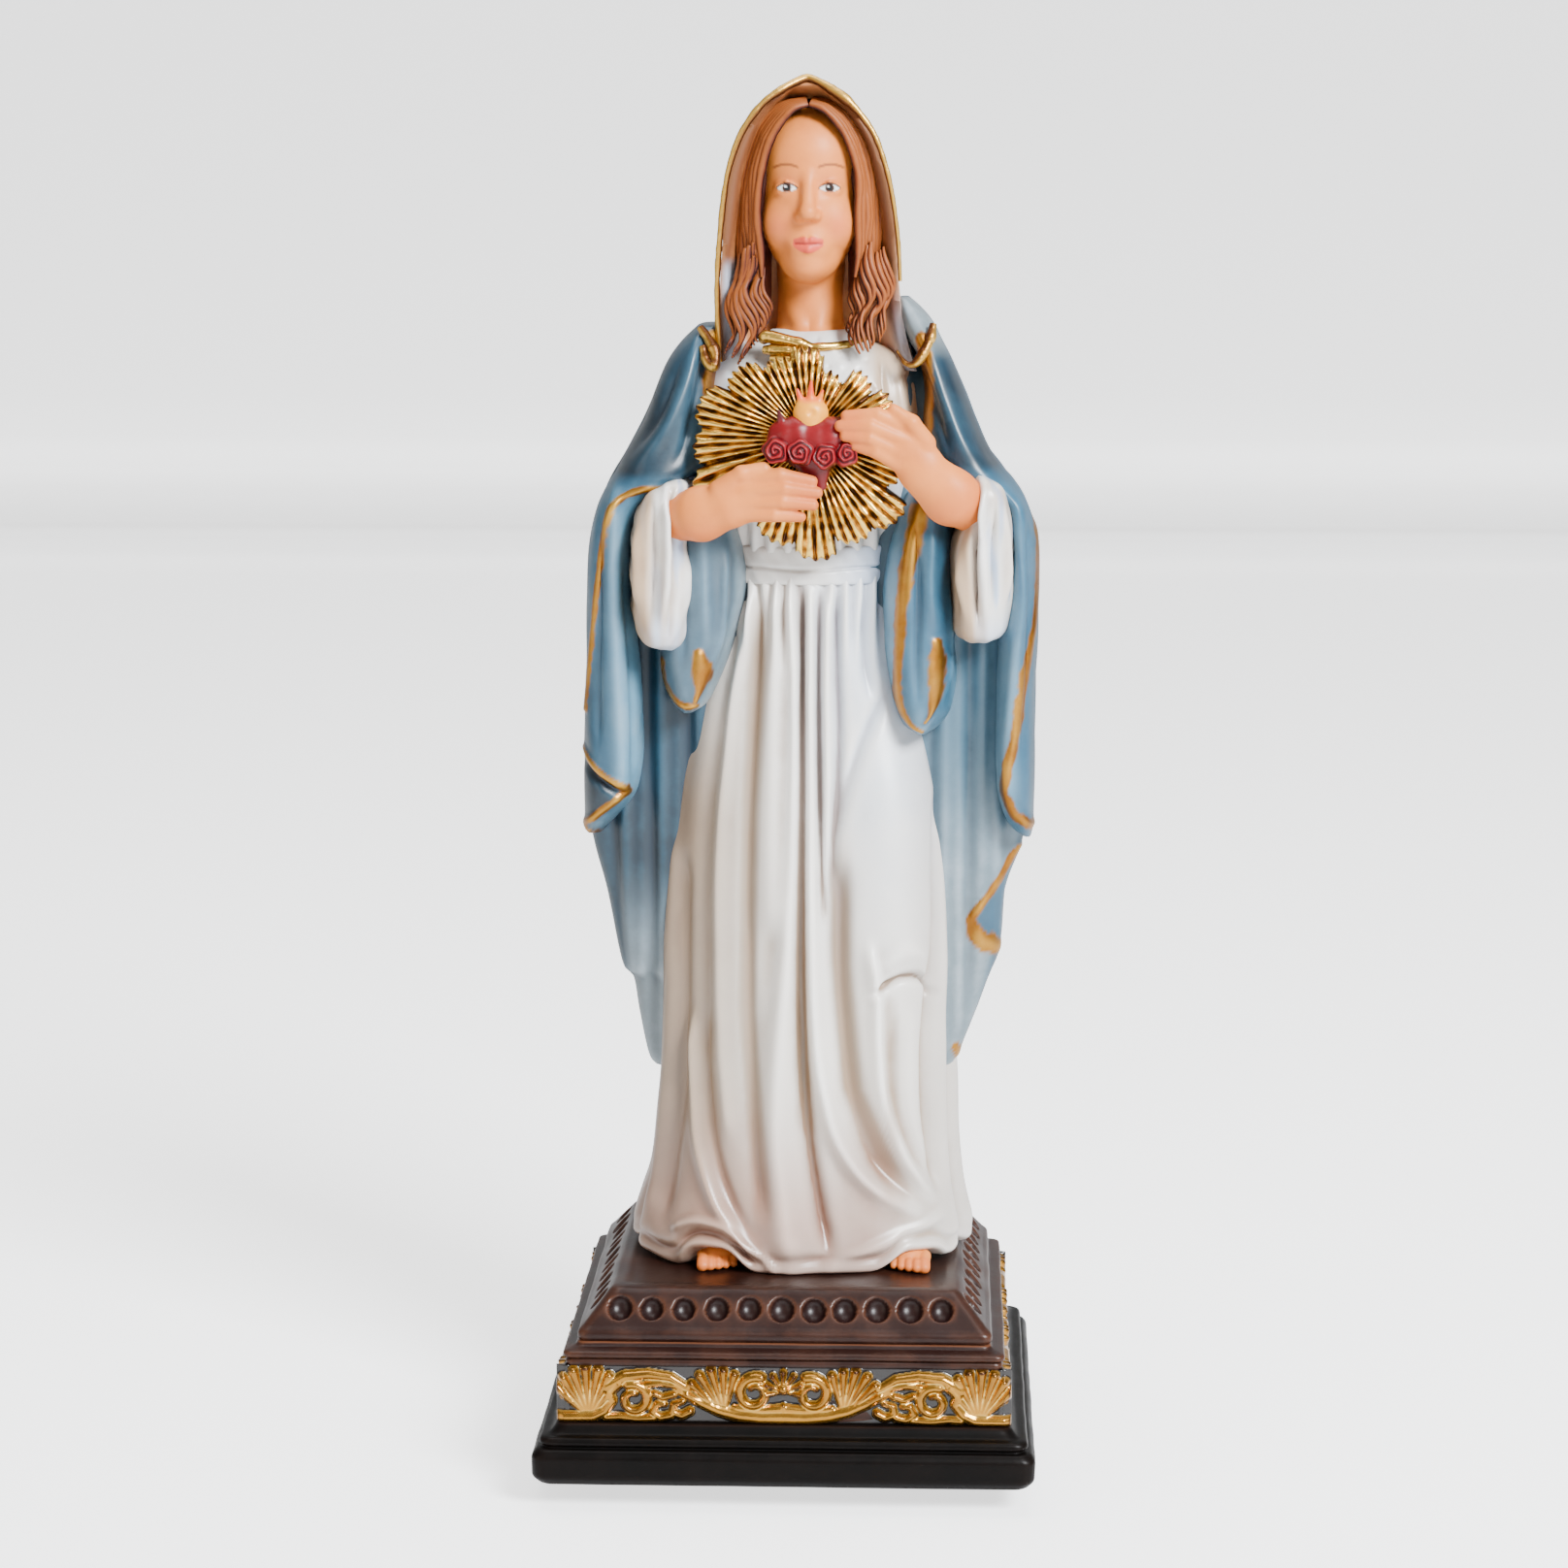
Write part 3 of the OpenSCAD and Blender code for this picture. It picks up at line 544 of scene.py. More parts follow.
# %% [markdown]
# ## The gilded frieze
# The frieze is cast scrollwork: shells with flutes, volutes, small leaves and a knob in the
# middle, on a swag. Each motif is a set of rounded strokes, as a carver would gouge it, and
# the relief is the highest stroke at each spot of a fine panel. Gold sits on the strokes and
# the ground between them stays dark.

# %% Strokes of the carver
def stroke(path, r0, r1, top0, top1):
    """A rounded ridge along a path: radius and height change from start to end."""
    p = np.asarray(path, float)
    n = len(p)
    return [(p[i], p[i + 1], r0 + (r1 - r0) * i / (n - 1), r0 + (r1 - r0) * (i + 1) / (n - 1),
             top0 + (top1 - top0) * i / (n - 1), top0 + (top1 - top0) * (i + 1) / (n - 1))
             for i in range(n - 1)]


def fan(x, z, reach, first, last, flutes, tip):
    """A fluted shell, spread between two angles from upright."""
    out = []
    for k in range(flutes):
        a = math.radians(first + (last - first) * k / (flutes - 1))
        far = reach * (1 - 0.12 * abs(2 * k / (flutes - 1) - 1))
        tips = [(x + far * t * math.sin(a), z + far * t * math.cos(a)) for t in (0.12, 0.45, 0.8, 1.0)]
        out += stroke(tips, 0.16, tip, 0.35, 0.95)
    return out


def volute(x, z, size, hand, start=90, turns=1.15, thick=0.58):
    path = []
    for k in range(26):
        t = k / 25
        a = math.radians(start + hand * 360 * turns * t)
        r = size * (1 - 0.62 * t)
        path.append((x + r * math.cos(a), z + r * math.sin(a)))
    return stroke(path, thick, thick * 0.55, 0.9, 0.7)


def half_pattern():
    """Scrollwork right of the middle, from x = 0 outwards; z runs from the panel's lower edge."""
    s = volute(2.85, 3.1, 1.75, -1, start=110)
    s += fan(5.9, 0.8, 4.9, -14, 60, 6, 0.50)
    s += stroke([(0, 0.65), (2.2, 0.6), (4.4, 0.8), (6.4, 1.3), (8.8, 2.4), (10.4, 3.3)],
        0.85, 0.45, 0.72, 0.6)
    s += stroke([(0.3, 1.5), (1.6, 1.4), (3.2, 1.3), (4.8, 1.6)], 0.55, 0.4, 0.62, 0.5)
    s += stroke([(9.4, 3.6), (11.2, 4.7), (13.4, 5.0), (15.8, 4.7), (17.6, 3.6)], 0.40, 0.7, 0.75, 0.9)
    s += stroke([(9.0, 2.6), (10.6, 3.8), (12.2, 4.1), (13.6, 3.9)], 0.38, 0.42, 0.65, 0.7)
    s += volute(14.9, 2.35, 1.65, 1, start=70, turns=1.1)
    s += stroke([(9.3, 1.2), (10.1, 0.75), (11.0, 1.1), (10.9, 1.9), (10.0, 2.2)], 0.48, 0.32, 0.8, 0.6)
    s += stroke([(11.2, 0.8), (12.2, 0.55), (13.0, 1.1), (12.6, 1.9), (11.8, 1.9)], 0.46, 0.32, 0.75, 0.6)
    s += stroke([(10.9, 2.9), (12.0, 2.6), (12.9, 3.0)], 0.42, 0.36, 0.7, 0.7)
    s += stroke([(12.8, 0.5), (14.6, 0.4), (16.4, 0.6), (17.6, 0.5)], 0.42, 0.42, 0.6, 0.6)
    s += fan(19.4, 0.4, 5.2, -40, 46, 7, 0.56)
    s += stroke([(17.5, 3.4), (17.0, 2.2), (17.8, 1.1), (19.0, 0.5), (22.5, 0.45)], 0.45, 0.6, 0.75, 0.65)
    return s


def frieze_panel(name, quarter, half):
    cols, rows = int(2 * half / 0.105), 55
    x = np.linspace(-half, half, cols)[None, :]
    z = np.linspace(-0.05, 5.75, rows)[:, None]
    height = np.zeros((rows, cols))
    centre = fan(0, 3.3, 2.0, -100, 100, 7, 0.34) + stroke([(0, 3.6), (0.01, 3.6)], 0.62, 0.62, 1.0, 1.0)
    centre += stroke([(0, 1.9), (0, 1.2)], 0.26, 0.2, 0.7, 0.6)
    for mirror in (1, -1):
        for a, b, r0, r1, h0, h1 in half_pattern() + (centre if mirror == 1 else []):
            ax, bx = a[0] * mirror, b[0] * mirror
            dx, dz = bx - ax, b[1] - a[1]
            t = np.clip(((x - ax) * dx + (z - a[1]) * dz) / (dx * dx + dz * dz + 1e-9), 0, 1)
            d = np.hypot(x - ax - t * dx, z - a[1] - t * dz) / (r0 + (r1 - r0) * t)
            height = np.maximum(height, (h0 + (h1 - h0) * t) * np.sqrt(np.clip(1.0 - d**2, 0, 1)))
    gilt = ease(0.10, 0.26, soften(height, 1, False))
    height = soften(height, 1, False)
    height[:, 0] = height[:, -1] = height[0] = height[-1] = 0
    front = np.stack([x + 0 * z, -(21.72 + 0.95 * height), 5.85 + z + 0 * x], -1)
    if half > 22:
        bend = np.clip(np.abs(x) - 21.9, 0, None)
        front[..., 1] += 0.5 * bend
    n = rows * cols
    rim = np.concatenate([np.arange(cols - 1), np.arange(1, rows) * cols - 1,
                          np.arange(n - 1, n - cols, -1), np.arange(rows - 1, 0, -1) * cols])
    back = front.reshape(-1, 3)[rim] * [1, 0, 1] + [0, -21.3, 0]
    points = np.vstack([front.reshape(-1, 3), back])
    c, s = [(1, 0), (0, 1), (-1, 0), (0, -1)][quarter]
    turned = np.stack([points[:, 0] * c - points[:, 1] * s, points[:, 0] * s + points[:, 1] * c,
        points[:, 2]], 1)
    j = np.arange(len(rim))
    k = (j + 1) % len(rim)
    faces = [grid_faces(rows, cols, False), np.stack([rim[j], n + j, n + k, rim[k]], 1),
        (n + j[::-1])[None, :]]
    rest = np.zeros(len(rim))
    ridge = np.r_[raised_by(front, False, 4).ravel() * -1, rest]
    gold = np.r_[gilt.ravel(), rest]
    dark = np.array(colour(30, 18, 14)[:3])
    tint = blend_rows(dark, np.array(colour(206, 158, 64)[:3]), gold)
    glaze_and_shade = blend_rows(dark * 0.6, np.array(colour(92, 56, 18)[:3]), gold)
    light = blend_rows(dark * 1.2, np.array(colour(250, 222, 140)[:3]), gold)
    return cast_mesh(name, turned, faces, FRIEZE,
        {"ridge": ridge, "gilt": gold * 0.9, **three_tints(tint, glaze_and_shade, light)})


FRIEZE = resin_paint("gilded frieze", colour(206, 158, 64), colour(60, 36, 14), colour(248, 220, 140),
                     rough=0.24, coat=0.35, spread=0.12, mottle=0.25,
                     scale=600, tint="tint", metal_mark="gilt")
for quarter, side in enumerate(("front", "left", "back", "right")):
    keep(frieze_panel("frieze_gilt_" + side, quarter, 22.62 if quarter % 2 == 0 else 21.75), "gold_paint",
         "frieze_" + side)

# %% [markdown]
# ## The robe
# The robe is a closed skin whose sections follow the body, with folds laid on it the way a
# modeller does: each fold is a line down the cloth with a height and a width, ridges and
# grooves side by side. Between waist and hem they sweep round the bent left leg.

# %% Fold lines
SKIRT_ROWS = [
    (18.3, -14.6, 16.0, -11.4, 10.0), (19.6, -15.9, 17.6, -11.9, 10.4), (21, -16.4, 18.2, -11.9, 10.4),
    (23.5, -15.7, 17.7, -11.6, 10.0), (26.5, -14.8, 17.1, -11.1, 9.6), (31, -14.2, 16.6, -10.7, 9.2),
    (37, -13.7, 16.4, -10.4, 9.0), (43, -13.4, 16.3, -10.4, 8.8), (49, -13.2, 16.2, -10.4, 8.6),
    (58, -12.6, 15.7, -9.9, 8.2), (66, -11.8, 14.9, -9.2, 8.0), (75, -9.9, 13.0, -8.4, 7.6),
    (82, -8.0, 11.4, -7.6, 7.0), (86, -6.9, 10.4, -7.1, 6.5), (89.2, -6.0, 9.6, -6.6, 6.0),
]
# Each fold: its line as (height, x), how far it stands out, its half width at top and bottom.
SKIRT_FOLDS = [
    ([(62, -11.9), (51, -12.0), (43, -12.1), (35, -12.7), (29, -13.9), (22, -15.6)], 0.5, 0.8, 1.2),
    ([(60, -10.7), (43, -10.9), (35, -11.3), (29, -12.2), (22, -13.2)], -0.6, 0.7, 0.9),
    ([(87, -3.6), (83, -4.2), (77, -5.4), (70, -6.2), (62, -6.9), (54, -7.0), (43, -6.8), (31, -5.8)],
    0.6, 0.6, 0.9),
    ([(87, -4.6), (80, -5.9), (70, -7.4), (62, -8.2), (50, -8.4), (40, -8.2)], -0.4, 0.6, 1.2),
    ([(44, -9.8), (36, -9.5), (30, -8.9), (25, -7.2), (21, -4.2)], 0.65, 0.5, 0.7),
    ([(44, -8.6), (36, -8.2), (30, -7.4), (25, -5.6), (21.5, -3.0)], -0.5, 0.6, 0.8),
    ([(88, -1.4), (80, -1.4), (71, -1.6), (62, -1.7), (52, -1.5)], 0.7, 0.9, 1.6),
    ([(87, -2.7), (78, -3.2), (66, -3.9), (55, -4.1), (45, -4.0), (32, -3.4), (24, -2.4)], -0.55, 0.5, 1.0),
    ([(88, 0.2), (77, 0.7), (69, 0.8), (59, 0.6), (49, -0.2), (41, -0.9), (33, -1.2), (25, -0.5), (18, 0.5)],
    1.0, 0.55, 1.7),
    ([(88, 1.4), (77, 1.35), (67, 1.4), (56, 1.35), (48, 1.35), (41, 1.5), (34, 1.9), (27, 2.9), (20, 4.4)],
    -1.15, 0.36, 0.8),
    ([(88, 2.1), (77, 2.1), (67, 2.2), (59, 2.2), (51, 2.3), (43, 2.7), (37.6, 3.4), (31.8, 5.0),
    (27, 8.4), (23.6, 13.2)], 1.05, 0.42, 0.8),
    ([(88, 2.95), (77, 2.95), (68, 3.1), (61, 3.35), (54, 3.6)], -0.85, 0.34, 0.5),
    ([(87, 3.7), (77, 3.75), (68, 3.85), (62, 3.8), (56, 3.7)], 0.65, 0.36, 0.4),
    ([(87, 4.8), (80, 4.9), (74, 5.1), (69, 5.0), (63, 4.5), (57, 4.3)], -0.8, 0.45, 0.6),
    ([(86, 7.4), (80, 7.6), (76, 8.2)], -0.45, 0.5, 0.6),
    ([(77, 9.4), (72, 7.2), (67, 5.6), (62, 4.8)], -0.5, 0.6, 0.6),
    ([(60, 5.2), (50, 5.2), (44, 5.6), (37, 6.4), (31, 8.2), (26, 11.8)], -1.15, 1.1, 1.3),
    ([(52, 7.8), (47, 8.5), (41, 8.8), (35.5, 9.5), (29.7, 11.6), (25, 14.6)], 0.95, 0.6, 0.8),
    ([(44, 10.4), (36, 10.7), (30, 12.4), (26, 14.4)], -0.35, 0.7, 0.7),
    ([(46, 12.0), (40, 12.0), (33, 12.6), (28, 14.2)], 0.4, 1.2, 1.0),
    ([(66, 14.0), (56.6, 14.1), (48.7, 14.1), (40.8, 13.9), (32.9, 14.3), (25, 15.4)], -0.95, 0.45, 0.7),
    ([(64, 14.9), (56, 15.2), (49, 15.3), (41, 15.6), (33, 16.0), (25, 17.2)], 0.55, 0.5, 0.8),
]
# Creases that run across: their line as (x, height), how far they stand out, half width.
SKIRT_CREASES = [
    ([(8.4, 47.2), (9.6, 48.0), (11, 48.6), (12.4, 48.5), (13.6, 47.6), (14.4, 46.4)], -0.8, 0.42),
    ([(9.0, 50.2), (11, 51.2), (13, 50.6)], 0.35, 1.2),
    ([(-11.6, 22.4), (-9.6, 23.2), (-7.6, 23.1), (-5.6, 22.2), (-3.6, 20.6), (-1.2, 19.2)], 0.55, 0.5),
    ([(-11.0, 21.2), (-9.4, 22.0), (-7.6, 21.9), (-5.4, 21.0), (-3.4, 19.6)], -0.4, 0.4),
    ([(4.0, 19.4), (7.0, 20.2), (10, 21.4), (13.0, 22.4), (15.6, 23.4)], 0.35, 0.7),
]


def fold_lift(x, z, folds, creases):
    lift = np.zeros(x.shape)
    for line, high, wide0, wide1 in folds:
        p = glide(sorted(line), 60)
        middle = np.interp(z, p[:, 0], p[:, 1])
        slope = np.interp(z, p[:, 0], np.gradient(p[:, 1], p[:, 0] + np.arange(60) * 1e-6))
        down = np.clip((p[-1, 0] - z) / (p[-1, 0] - p[0, 0]), 0, 1)
        wide = (wide0 + (wide1 - wide0) * down) * np.sqrt(1 + np.clip(slope, -2, 2) ** 2)
        ends = ease(p[0, 0] - 1, p[0, 0] + 4, z) * (1 - ease(p[-1, 0] - 3, p[-1, 0] + 1.5, z))
        lift += high * np.exp(-np.abs((x - middle) / wide) ** 1.8) * ends
    for line, high, wide in creases:
        p = glide(sorted(line), 40)
        level = np.interp(x, p[:, 0], p[:, 1])
        ends = ease(p[0, 0] - 0.8, p[0, 0] + 0.8, x) * (1 - ease(p[-1, 0] - 0.8, p[-1, 0] + 0.8, x))
        lift += high * np.exp(-(((z - level) / wide) ** 2)) * ends
    return lift


# %% The skirt
def rounded_section(table, z, turns, power=0.86):
    """Points of the body sections: x and y at heights z (rows) and turns (columns)."""
    xl, xr, yf, yb = [v[..., None] if np.ndim(z) == 1 else v for v in at_height(table, z)]
    c, s = np.cos(turns), np.sin(turns)
    x = (xl + xr) / 2 + (xr - xl) / 2 * np.sign(c) * np.abs(c) ** power
    y = np.where(s < 0, -yf, yb) * np.sign(s) * np.abs(s) ** power
    return x, y


def make_skirt():
    rows, cols = 250, 345
    turns = np.linspace(0, 2 * math.pi, cols, endpoint=False)[None, :] + 0 * np.zeros((rows, 1))
    front = np.clip(-np.sin(turns), 0, 1)
    along = np.linspace(0, 1, rows)[:, None] ** 1.05
    x0, _ = rounded_section(SKIRT_ROWS, np.full(1, 19.0), turns[:1])
    low = (18.35 + front[:1] ** 0.5
        * (2.6 * np.exp(-(((x0 + 7.4) / 3.0) ** 4)) + 2.3 * np.exp(-(((x0 - 12.4) / 2.6) ** 4))))
    low = low + 0.9 * np.exp(-(((x0 + 15.5) / 2.5) ** 2)) + 0.9 * np.exp(-(((x0 - 17.5) / 2.5) ** 2))
    z = low + along * (89.0 - low)
    x, y = rounded_section(SKIRT_ROWS, z, turns)
    facing = ease(0.12, 0.5, front)
    lift = 1.35 * fold_lift(x, z, SKIRT_FOLDS, SKIRT_CREASES) * facing
    lift += 2.2 * np.exp(-(((x - 10.3) / 4.6) ** 2) - (((z - 61) / 13.0) ** 2)) * facing
    lift += 0.8 * np.exp(-(((x - 11.5) / 3.0) ** 2) - (((z - 52) / 5.0) ** 2)) * facing
    lift += 0.30 * np.cos(2 * math.pi * (x - 0.15) / 1.36) * ease(78, 87, z) * facing
    behind = 1 - facing
    lift += (behind * (0.55 * np.sin(9 * turns + 0.02 * z) + 0.25 * np.sin(16 * turns + 1))
        * (1 - ease(60, 88, z)))
    lift += (0.5 * np.exp(-(((z - low - 0.5) / 0.5) ** 2))
        - 0.35 * np.exp(-(((z - low - 1.5) / 0.5) ** 2)) * facing)
    grid = np.stack([x, y, z], -1)
    grid += grid_normals(grid, True) * (lift + 0.07 * ripple(grid, 9.0, 21))[..., None]
    # Painted light on the robe: the cool tint turns the upper right blue-grey, painted cool light on the side
    # of the key panel; the taupe tint is painted shade on the left side and in the fold panels where shade
    # falls, with a little random tone; the edge mask darkens both sides of the skirt away from the waist,
    # painted shade where the cloth turns away. The rosy tint makes the lower part pinker and darker towards
    # the hem, except at the right.
    tone = ripple(grid, 26.0, 5)
    cool = ease(-4, 10, grid[..., 0]) * ease(40, 84, grid[..., 2]) * 0.8
    warm_shade = ease(4, -12, grid[..., 0]) * ease(88, 62, grid[..., 2]) * 1.0 + 0.12 * tone
    for line, wide, much in ((((24, -7.6), (40, -9.6), (60, -9.6), (76, -7.6)), 1.5, 0.55),
            (((22, -2.4), (45, -4.2), (66, -3.9), (84, -2.8)), 1.25, 0.85),
                             (((27, 11.0), (37, 6.6), (50, 5.4), (60, 5.2)), 1.25, 0.95),
                             (((30, 10.6), (44, 10.4)), 0.7, 0.4)):
        heights, middles = zip(*line)
        panel = np.exp(-(((grid[..., 0] - np.interp(grid[..., 2], heights, middles)) / wide) ** 4))
        warm_shade = np.maximum(warm_shade, much * panel * ease(heights[0] - 5, heights[0] + 4, grid[..., 2])
            * ease(heights[-1] + 5, heights[-1] - 4, grid[..., 2]) * facing)
    rosy = ease(40, 22, grid[..., 2]) * 0.8 * ease(15, 8, grid[..., 0])
    base = blend_rows(np.array(colour(232, 228, 222)), np.array(colour(204, 214, 226)), np.clip(cool, 0, 1))
    base = blend_rows(base, np.array(colour(152, 132, 110)), np.clip(warm_shade, 0, 1))
    base = blend_rows(base, np.array(colour(168, 136, 120)), np.clip(rosy, 0, 1))
    edge = ease(0.55, 0.95, np.abs(grid[..., 0] - 1.8) / 14.5) * (1 - ease(70, 84, grid[..., 2])) * 0.45
    base = blend_rows(base, np.array(colour(150, 136, 126)), np.clip(edge, 0, 1))
    glaze_and_shade = blend_rows(np.array(colour(164, 142, 120)), np.array(colour(148, 158, 178)), np.clip(cool, 0, 1))
    glaze_and_shade = blend_rows(glaze_and_shade, np.array(colour(146, 108, 94)), np.clip(rosy, 0, 1))
    light = blend_rows(np.array(colour(246, 243, 238)), np.array(colour(176, 156, 132)), np.clip(warm_shade, 0, 1))
    light = blend_rows(light, np.array(colour(190, 158, 142)), np.clip(rosy, 0, 1))
    light = blend_rows(light, np.array(colour(176, 162, 150)), np.clip(edge, 0, 1))
    return skin("robe_skirt_cast", grid, ROBE, three_tints(base, glaze_and_shade, light), steps=17)


keep(make_skirt(), "robe_white", "robe_skirt")

# %% [markdown]
# ## Sash and bodice
# The sash is a soft band that holds the gathers of the skirt, and the bodice above it is the
# top of the white chemise. On the real figure its cloth is stippled all over to look like
# lace, so small dents are pressed into it.

# %% Sash
def soft_ring(table, low, high, rows, cols, power=0.86):
    turns = np.linspace(0, 2 * math.pi, cols, endpoint=False)[None, :] + np.zeros((rows, 1))
    z = np.linspace(low, high, rows)[:, None] + 0 * turns
    x, y = rounded_section(table, z, turns, power)
    return np.stack([x, y, z], -1), turns


def white_tints(cool, warm_shade):
    # Painted light: the beige tint is painted shade, put by every caller on the side away from the key panel
    # or under an arm or hand; the cool tint turns the white bluish.
    base = blend_rows(np.array(colour(228, 226, 222)), np.array(colour(176, 196, 222)), np.clip(cool, 0, 1))
    base = blend_rows(base, np.array(colour(196, 172, 146)), np.clip(warm_shade, 0, 1))
    glaze_and_shade = blend_rows(np.array(colour(146, 126, 114)), np.array(colour(128, 152, 186)), np.clip(cool, 0, 1))
    light = blend_rows(np.array(colour(244, 242, 240)), np.array(colour(208, 188, 162)), np.clip(warm_shade, 0, 1))
    return three_tints(base, glaze_and_shade, light)


def make_sash():
    table = [(87.9, -6.3, 9.9, -6.9, 6.3), (89.5, -6.2, 9.8, -6.8, 6.2), (91.6, -6.4, 10.0, -6.9, 6.3)]
    grid, turns = soft_ring(table, 87.9, 91.7, 40, 300)
    z = grid[..., 2]
    lift = (0.30 * np.sqrt(np.clip(1 - ((z - 89.8) / 1.9) ** 4, 0, 1))
        - 0.28 * np.exp(-(((z - 89.5 - 0.1 * np.sin(5 * turns)) / 0.2) ** 2)))
    lift += 0.05 * np.sin(23 * turns + 2.0 * z) + 0.06 * ripple(grid, 3.0, 31)
    grid += grid_normals(grid, True) * lift[..., None]
    # On the sash the cool tint on the right is painted cool light, on the side of the key panel, and the
    # beige tint on the left is painted shade.
    return skin("sash_cast", grid, ROBE,
        white_tints(ease(2, 9, grid[..., 0]) * 0.6, ease(0, -7, grid[..., 0]) * 0.3), steps=5)


keep(make_sash(), "robe_white", "sash")

# %% Bodice
BODICE_ROWS = [
    (91.2, -6.6, 10.1, -6.9, 6.3), (94, -7.6, 11.0, -7.4, 6.5), (97, -8.6, 12.2, -8.0, 6.8),
    (102, -9.8, 13.2, -8.3, 7.0), (107, -9.6, 13.0, -7.4, 6.6), (110.4, -7.6, 11.0, -6.0, 5.8),
    (112.2, -3.6, 7.2, -4.6, 4.8), (113.0, -2.0, 5.6, -3.4, 4.0),
]
BODICE_FOLDS = [
    ([(110, 9.0), (105, 9.6), (101, 10.2)], -0.5, 0.35, 0.4),
    ([(110, 10.4), (105, 11.2), (100, 11.6)], 0.45, 0.4, 0.5),
    ([(109, 11.8), (104, 12.4), (100, 12.4)], -0.4, 0.3, 0.4),
]


def make_bodice():
    grid, _ = soft_ring(BODICE_ROWS, 91.2, 113.0, 135, 280)
    rng = np.random.default_rng(17)
    lift = 0.10 * ripple(grid, 5.0, 33)
    lift += (0.30 * np.cos(2 * math.pi * grid[..., 0] / 1.7 + 0.4)
        * np.exp(-(((grid[..., 2] - 92.5) / 2.2) ** 2)))
    lift += fold_lift(grid[..., 0], grid[..., 2], BODICE_FOLDS, []) * (grid[..., 1] < 0)
    for _ in range(150):
        cx, cz = rng.uniform(-7, 12), rng.uniform(100.5, 112.3)
        d = np.hypot(grid[..., 0] - cx, grid[..., 2] - cz) / rng.uniform(0.22, 0.42)
        lift += (rng.uniform(-0.22, 0.16) * np.exp(-d**2)) * (grid[..., 1] < 0)
    grid += grid_normals(grid, True) * lift[..., None]
    x, z = grid[..., 0], grid[..., 2]
    # Painted light: the beige tint is painted shade under the hand on the right and under the arm low on the
    # left; the cool tint turns the far left and the lower right bluish.
    cool = ease(-4.5, -7.5, x) * 0.5 + ease(8, 12, x) * ease(106, 98, z) * 0.4
    warm_shade = ease(6.5, 9, x) * ease(99, 103, z) * 0.9 + ease(-3, -7, x) * ease(97, 93, z) * 0.5
    return skin("bodice_cast", grid, ROBE, white_tints(cool, warm_shade), steps=4)


keep(make_bodice(), "robe_white", "robe_bodice")

# %% [markdown]
# ## The mantle
# The mantle is three pieces here: the back, which wraps the figure, and a hanging front on each
# side. Each is a closed skin again, with fold lines as on the robe. The gold borders of such
# figures are a raised edge that is brushed with gold by hand, so a border here is a line on
# the cloth that both lifts the surface and carries the gold.

# %% Gold borders
def near_line(x, z, path, wide):
    """Distance to a path of (x, z, relative width), counted in brush widths."""
    p = np.array([(q[0], q[1], q[2] if len(q) > 2 else 1.0) for q in path], float)
    p = glide(p, 14 * len(p))
    best = np.full(x.shape, 9.0)
    for a, b in zip(p[:-1], p[1:]):
        dx, dz = b[0] - a[0], b[1] - a[1]
        t = np.clip(((x - a[0]) * dx + (z - a[1]) * dz) / (dx * dx + dz * dz + 1e-9), 0, 1)
        d = np.hypot(x - a[0] - t * dx, z - a[1] - t * dz) / (wide * (a[2] + (b[2] - a[2]) * t))
        best = np.minimum(best, d)
    return best


def border(grid, paths, wide, where):
    """Lift and gold of the borders, worn a little along their edges."""
    best = np.full(grid.shape[:2], 9.0)
    for path in paths:
        best = np.minimum(best, near_line(grid[..., 0], grid[..., 2], path, wide))
    worn = best + 0.16 * ripple(grid, 1.6, 71) + 0.10 * ripple(grid, 0.7, 72)
    return np.exp(-(best**2)) * where, (1 - ease(0.75, 1.12, worn)) * where


def with_gold(base, glaze_and_shade, light, gold):
    return (blend_rows(base, np.array(colour(168, 118, 44)), gold),
        blend_rows(glaze_and_shade, np.array(colour(78, 46, 16)), gold),
            blend_rows(light, np.array(colour(236, 196, 104)), gold))


MANTLE = resin_paint("blue mantle with gold border", colour(90, 138, 165),
    colour(40, 82, 108), colour(160, 196, 214),
                     rough=0.42, coat=0.15, spread=0.42, mottle=0.25,
                     scale=260, tint="tint", metal_mark="gilt")


def blue_tints(deep, pale, white, gold):
    """Teal where deep is set: painted shade, and the darker blue of the outer edges; sky blue where pale is
    set: the paler lining, and a painted highlight on the folds; nearly white where white is set.
    """
    base = blend_rows(np.array(colour(66, 110, 132)), np.array(colour(24, 54, 68)), np.clip(deep, 0, 1))
    base = blend_rows(base, np.array(colour(124, 164, 184)), np.clip(pale, 0, 1))
    base = blend_rows(base, np.array(colour(142, 152, 156)), np.clip(white, 0, 1))
    glaze_and_shade = blend_rows(np.array(colour(24, 50, 68)), np.array(colour(74, 88, 96)), np.clip(white, 0, 1))
    light = blend_rows(np.array(colour(106, 150, 170)), np.array(colour(206, 214, 220)),
        np.clip(pale * 0.6 + white, 0, 1))
    light = blend_rows(light, np.array(colour(56, 98, 116)),
        np.clip(0.8 * deep * (1 - pale) * (1 - white), 0, 1))
    base, glaze_and_shade, light = with_gold(base, glaze_and_shade, light, gold)
    return {**three_tints(base, glaze_and_shade, light), "gilt": gold * 0.95}


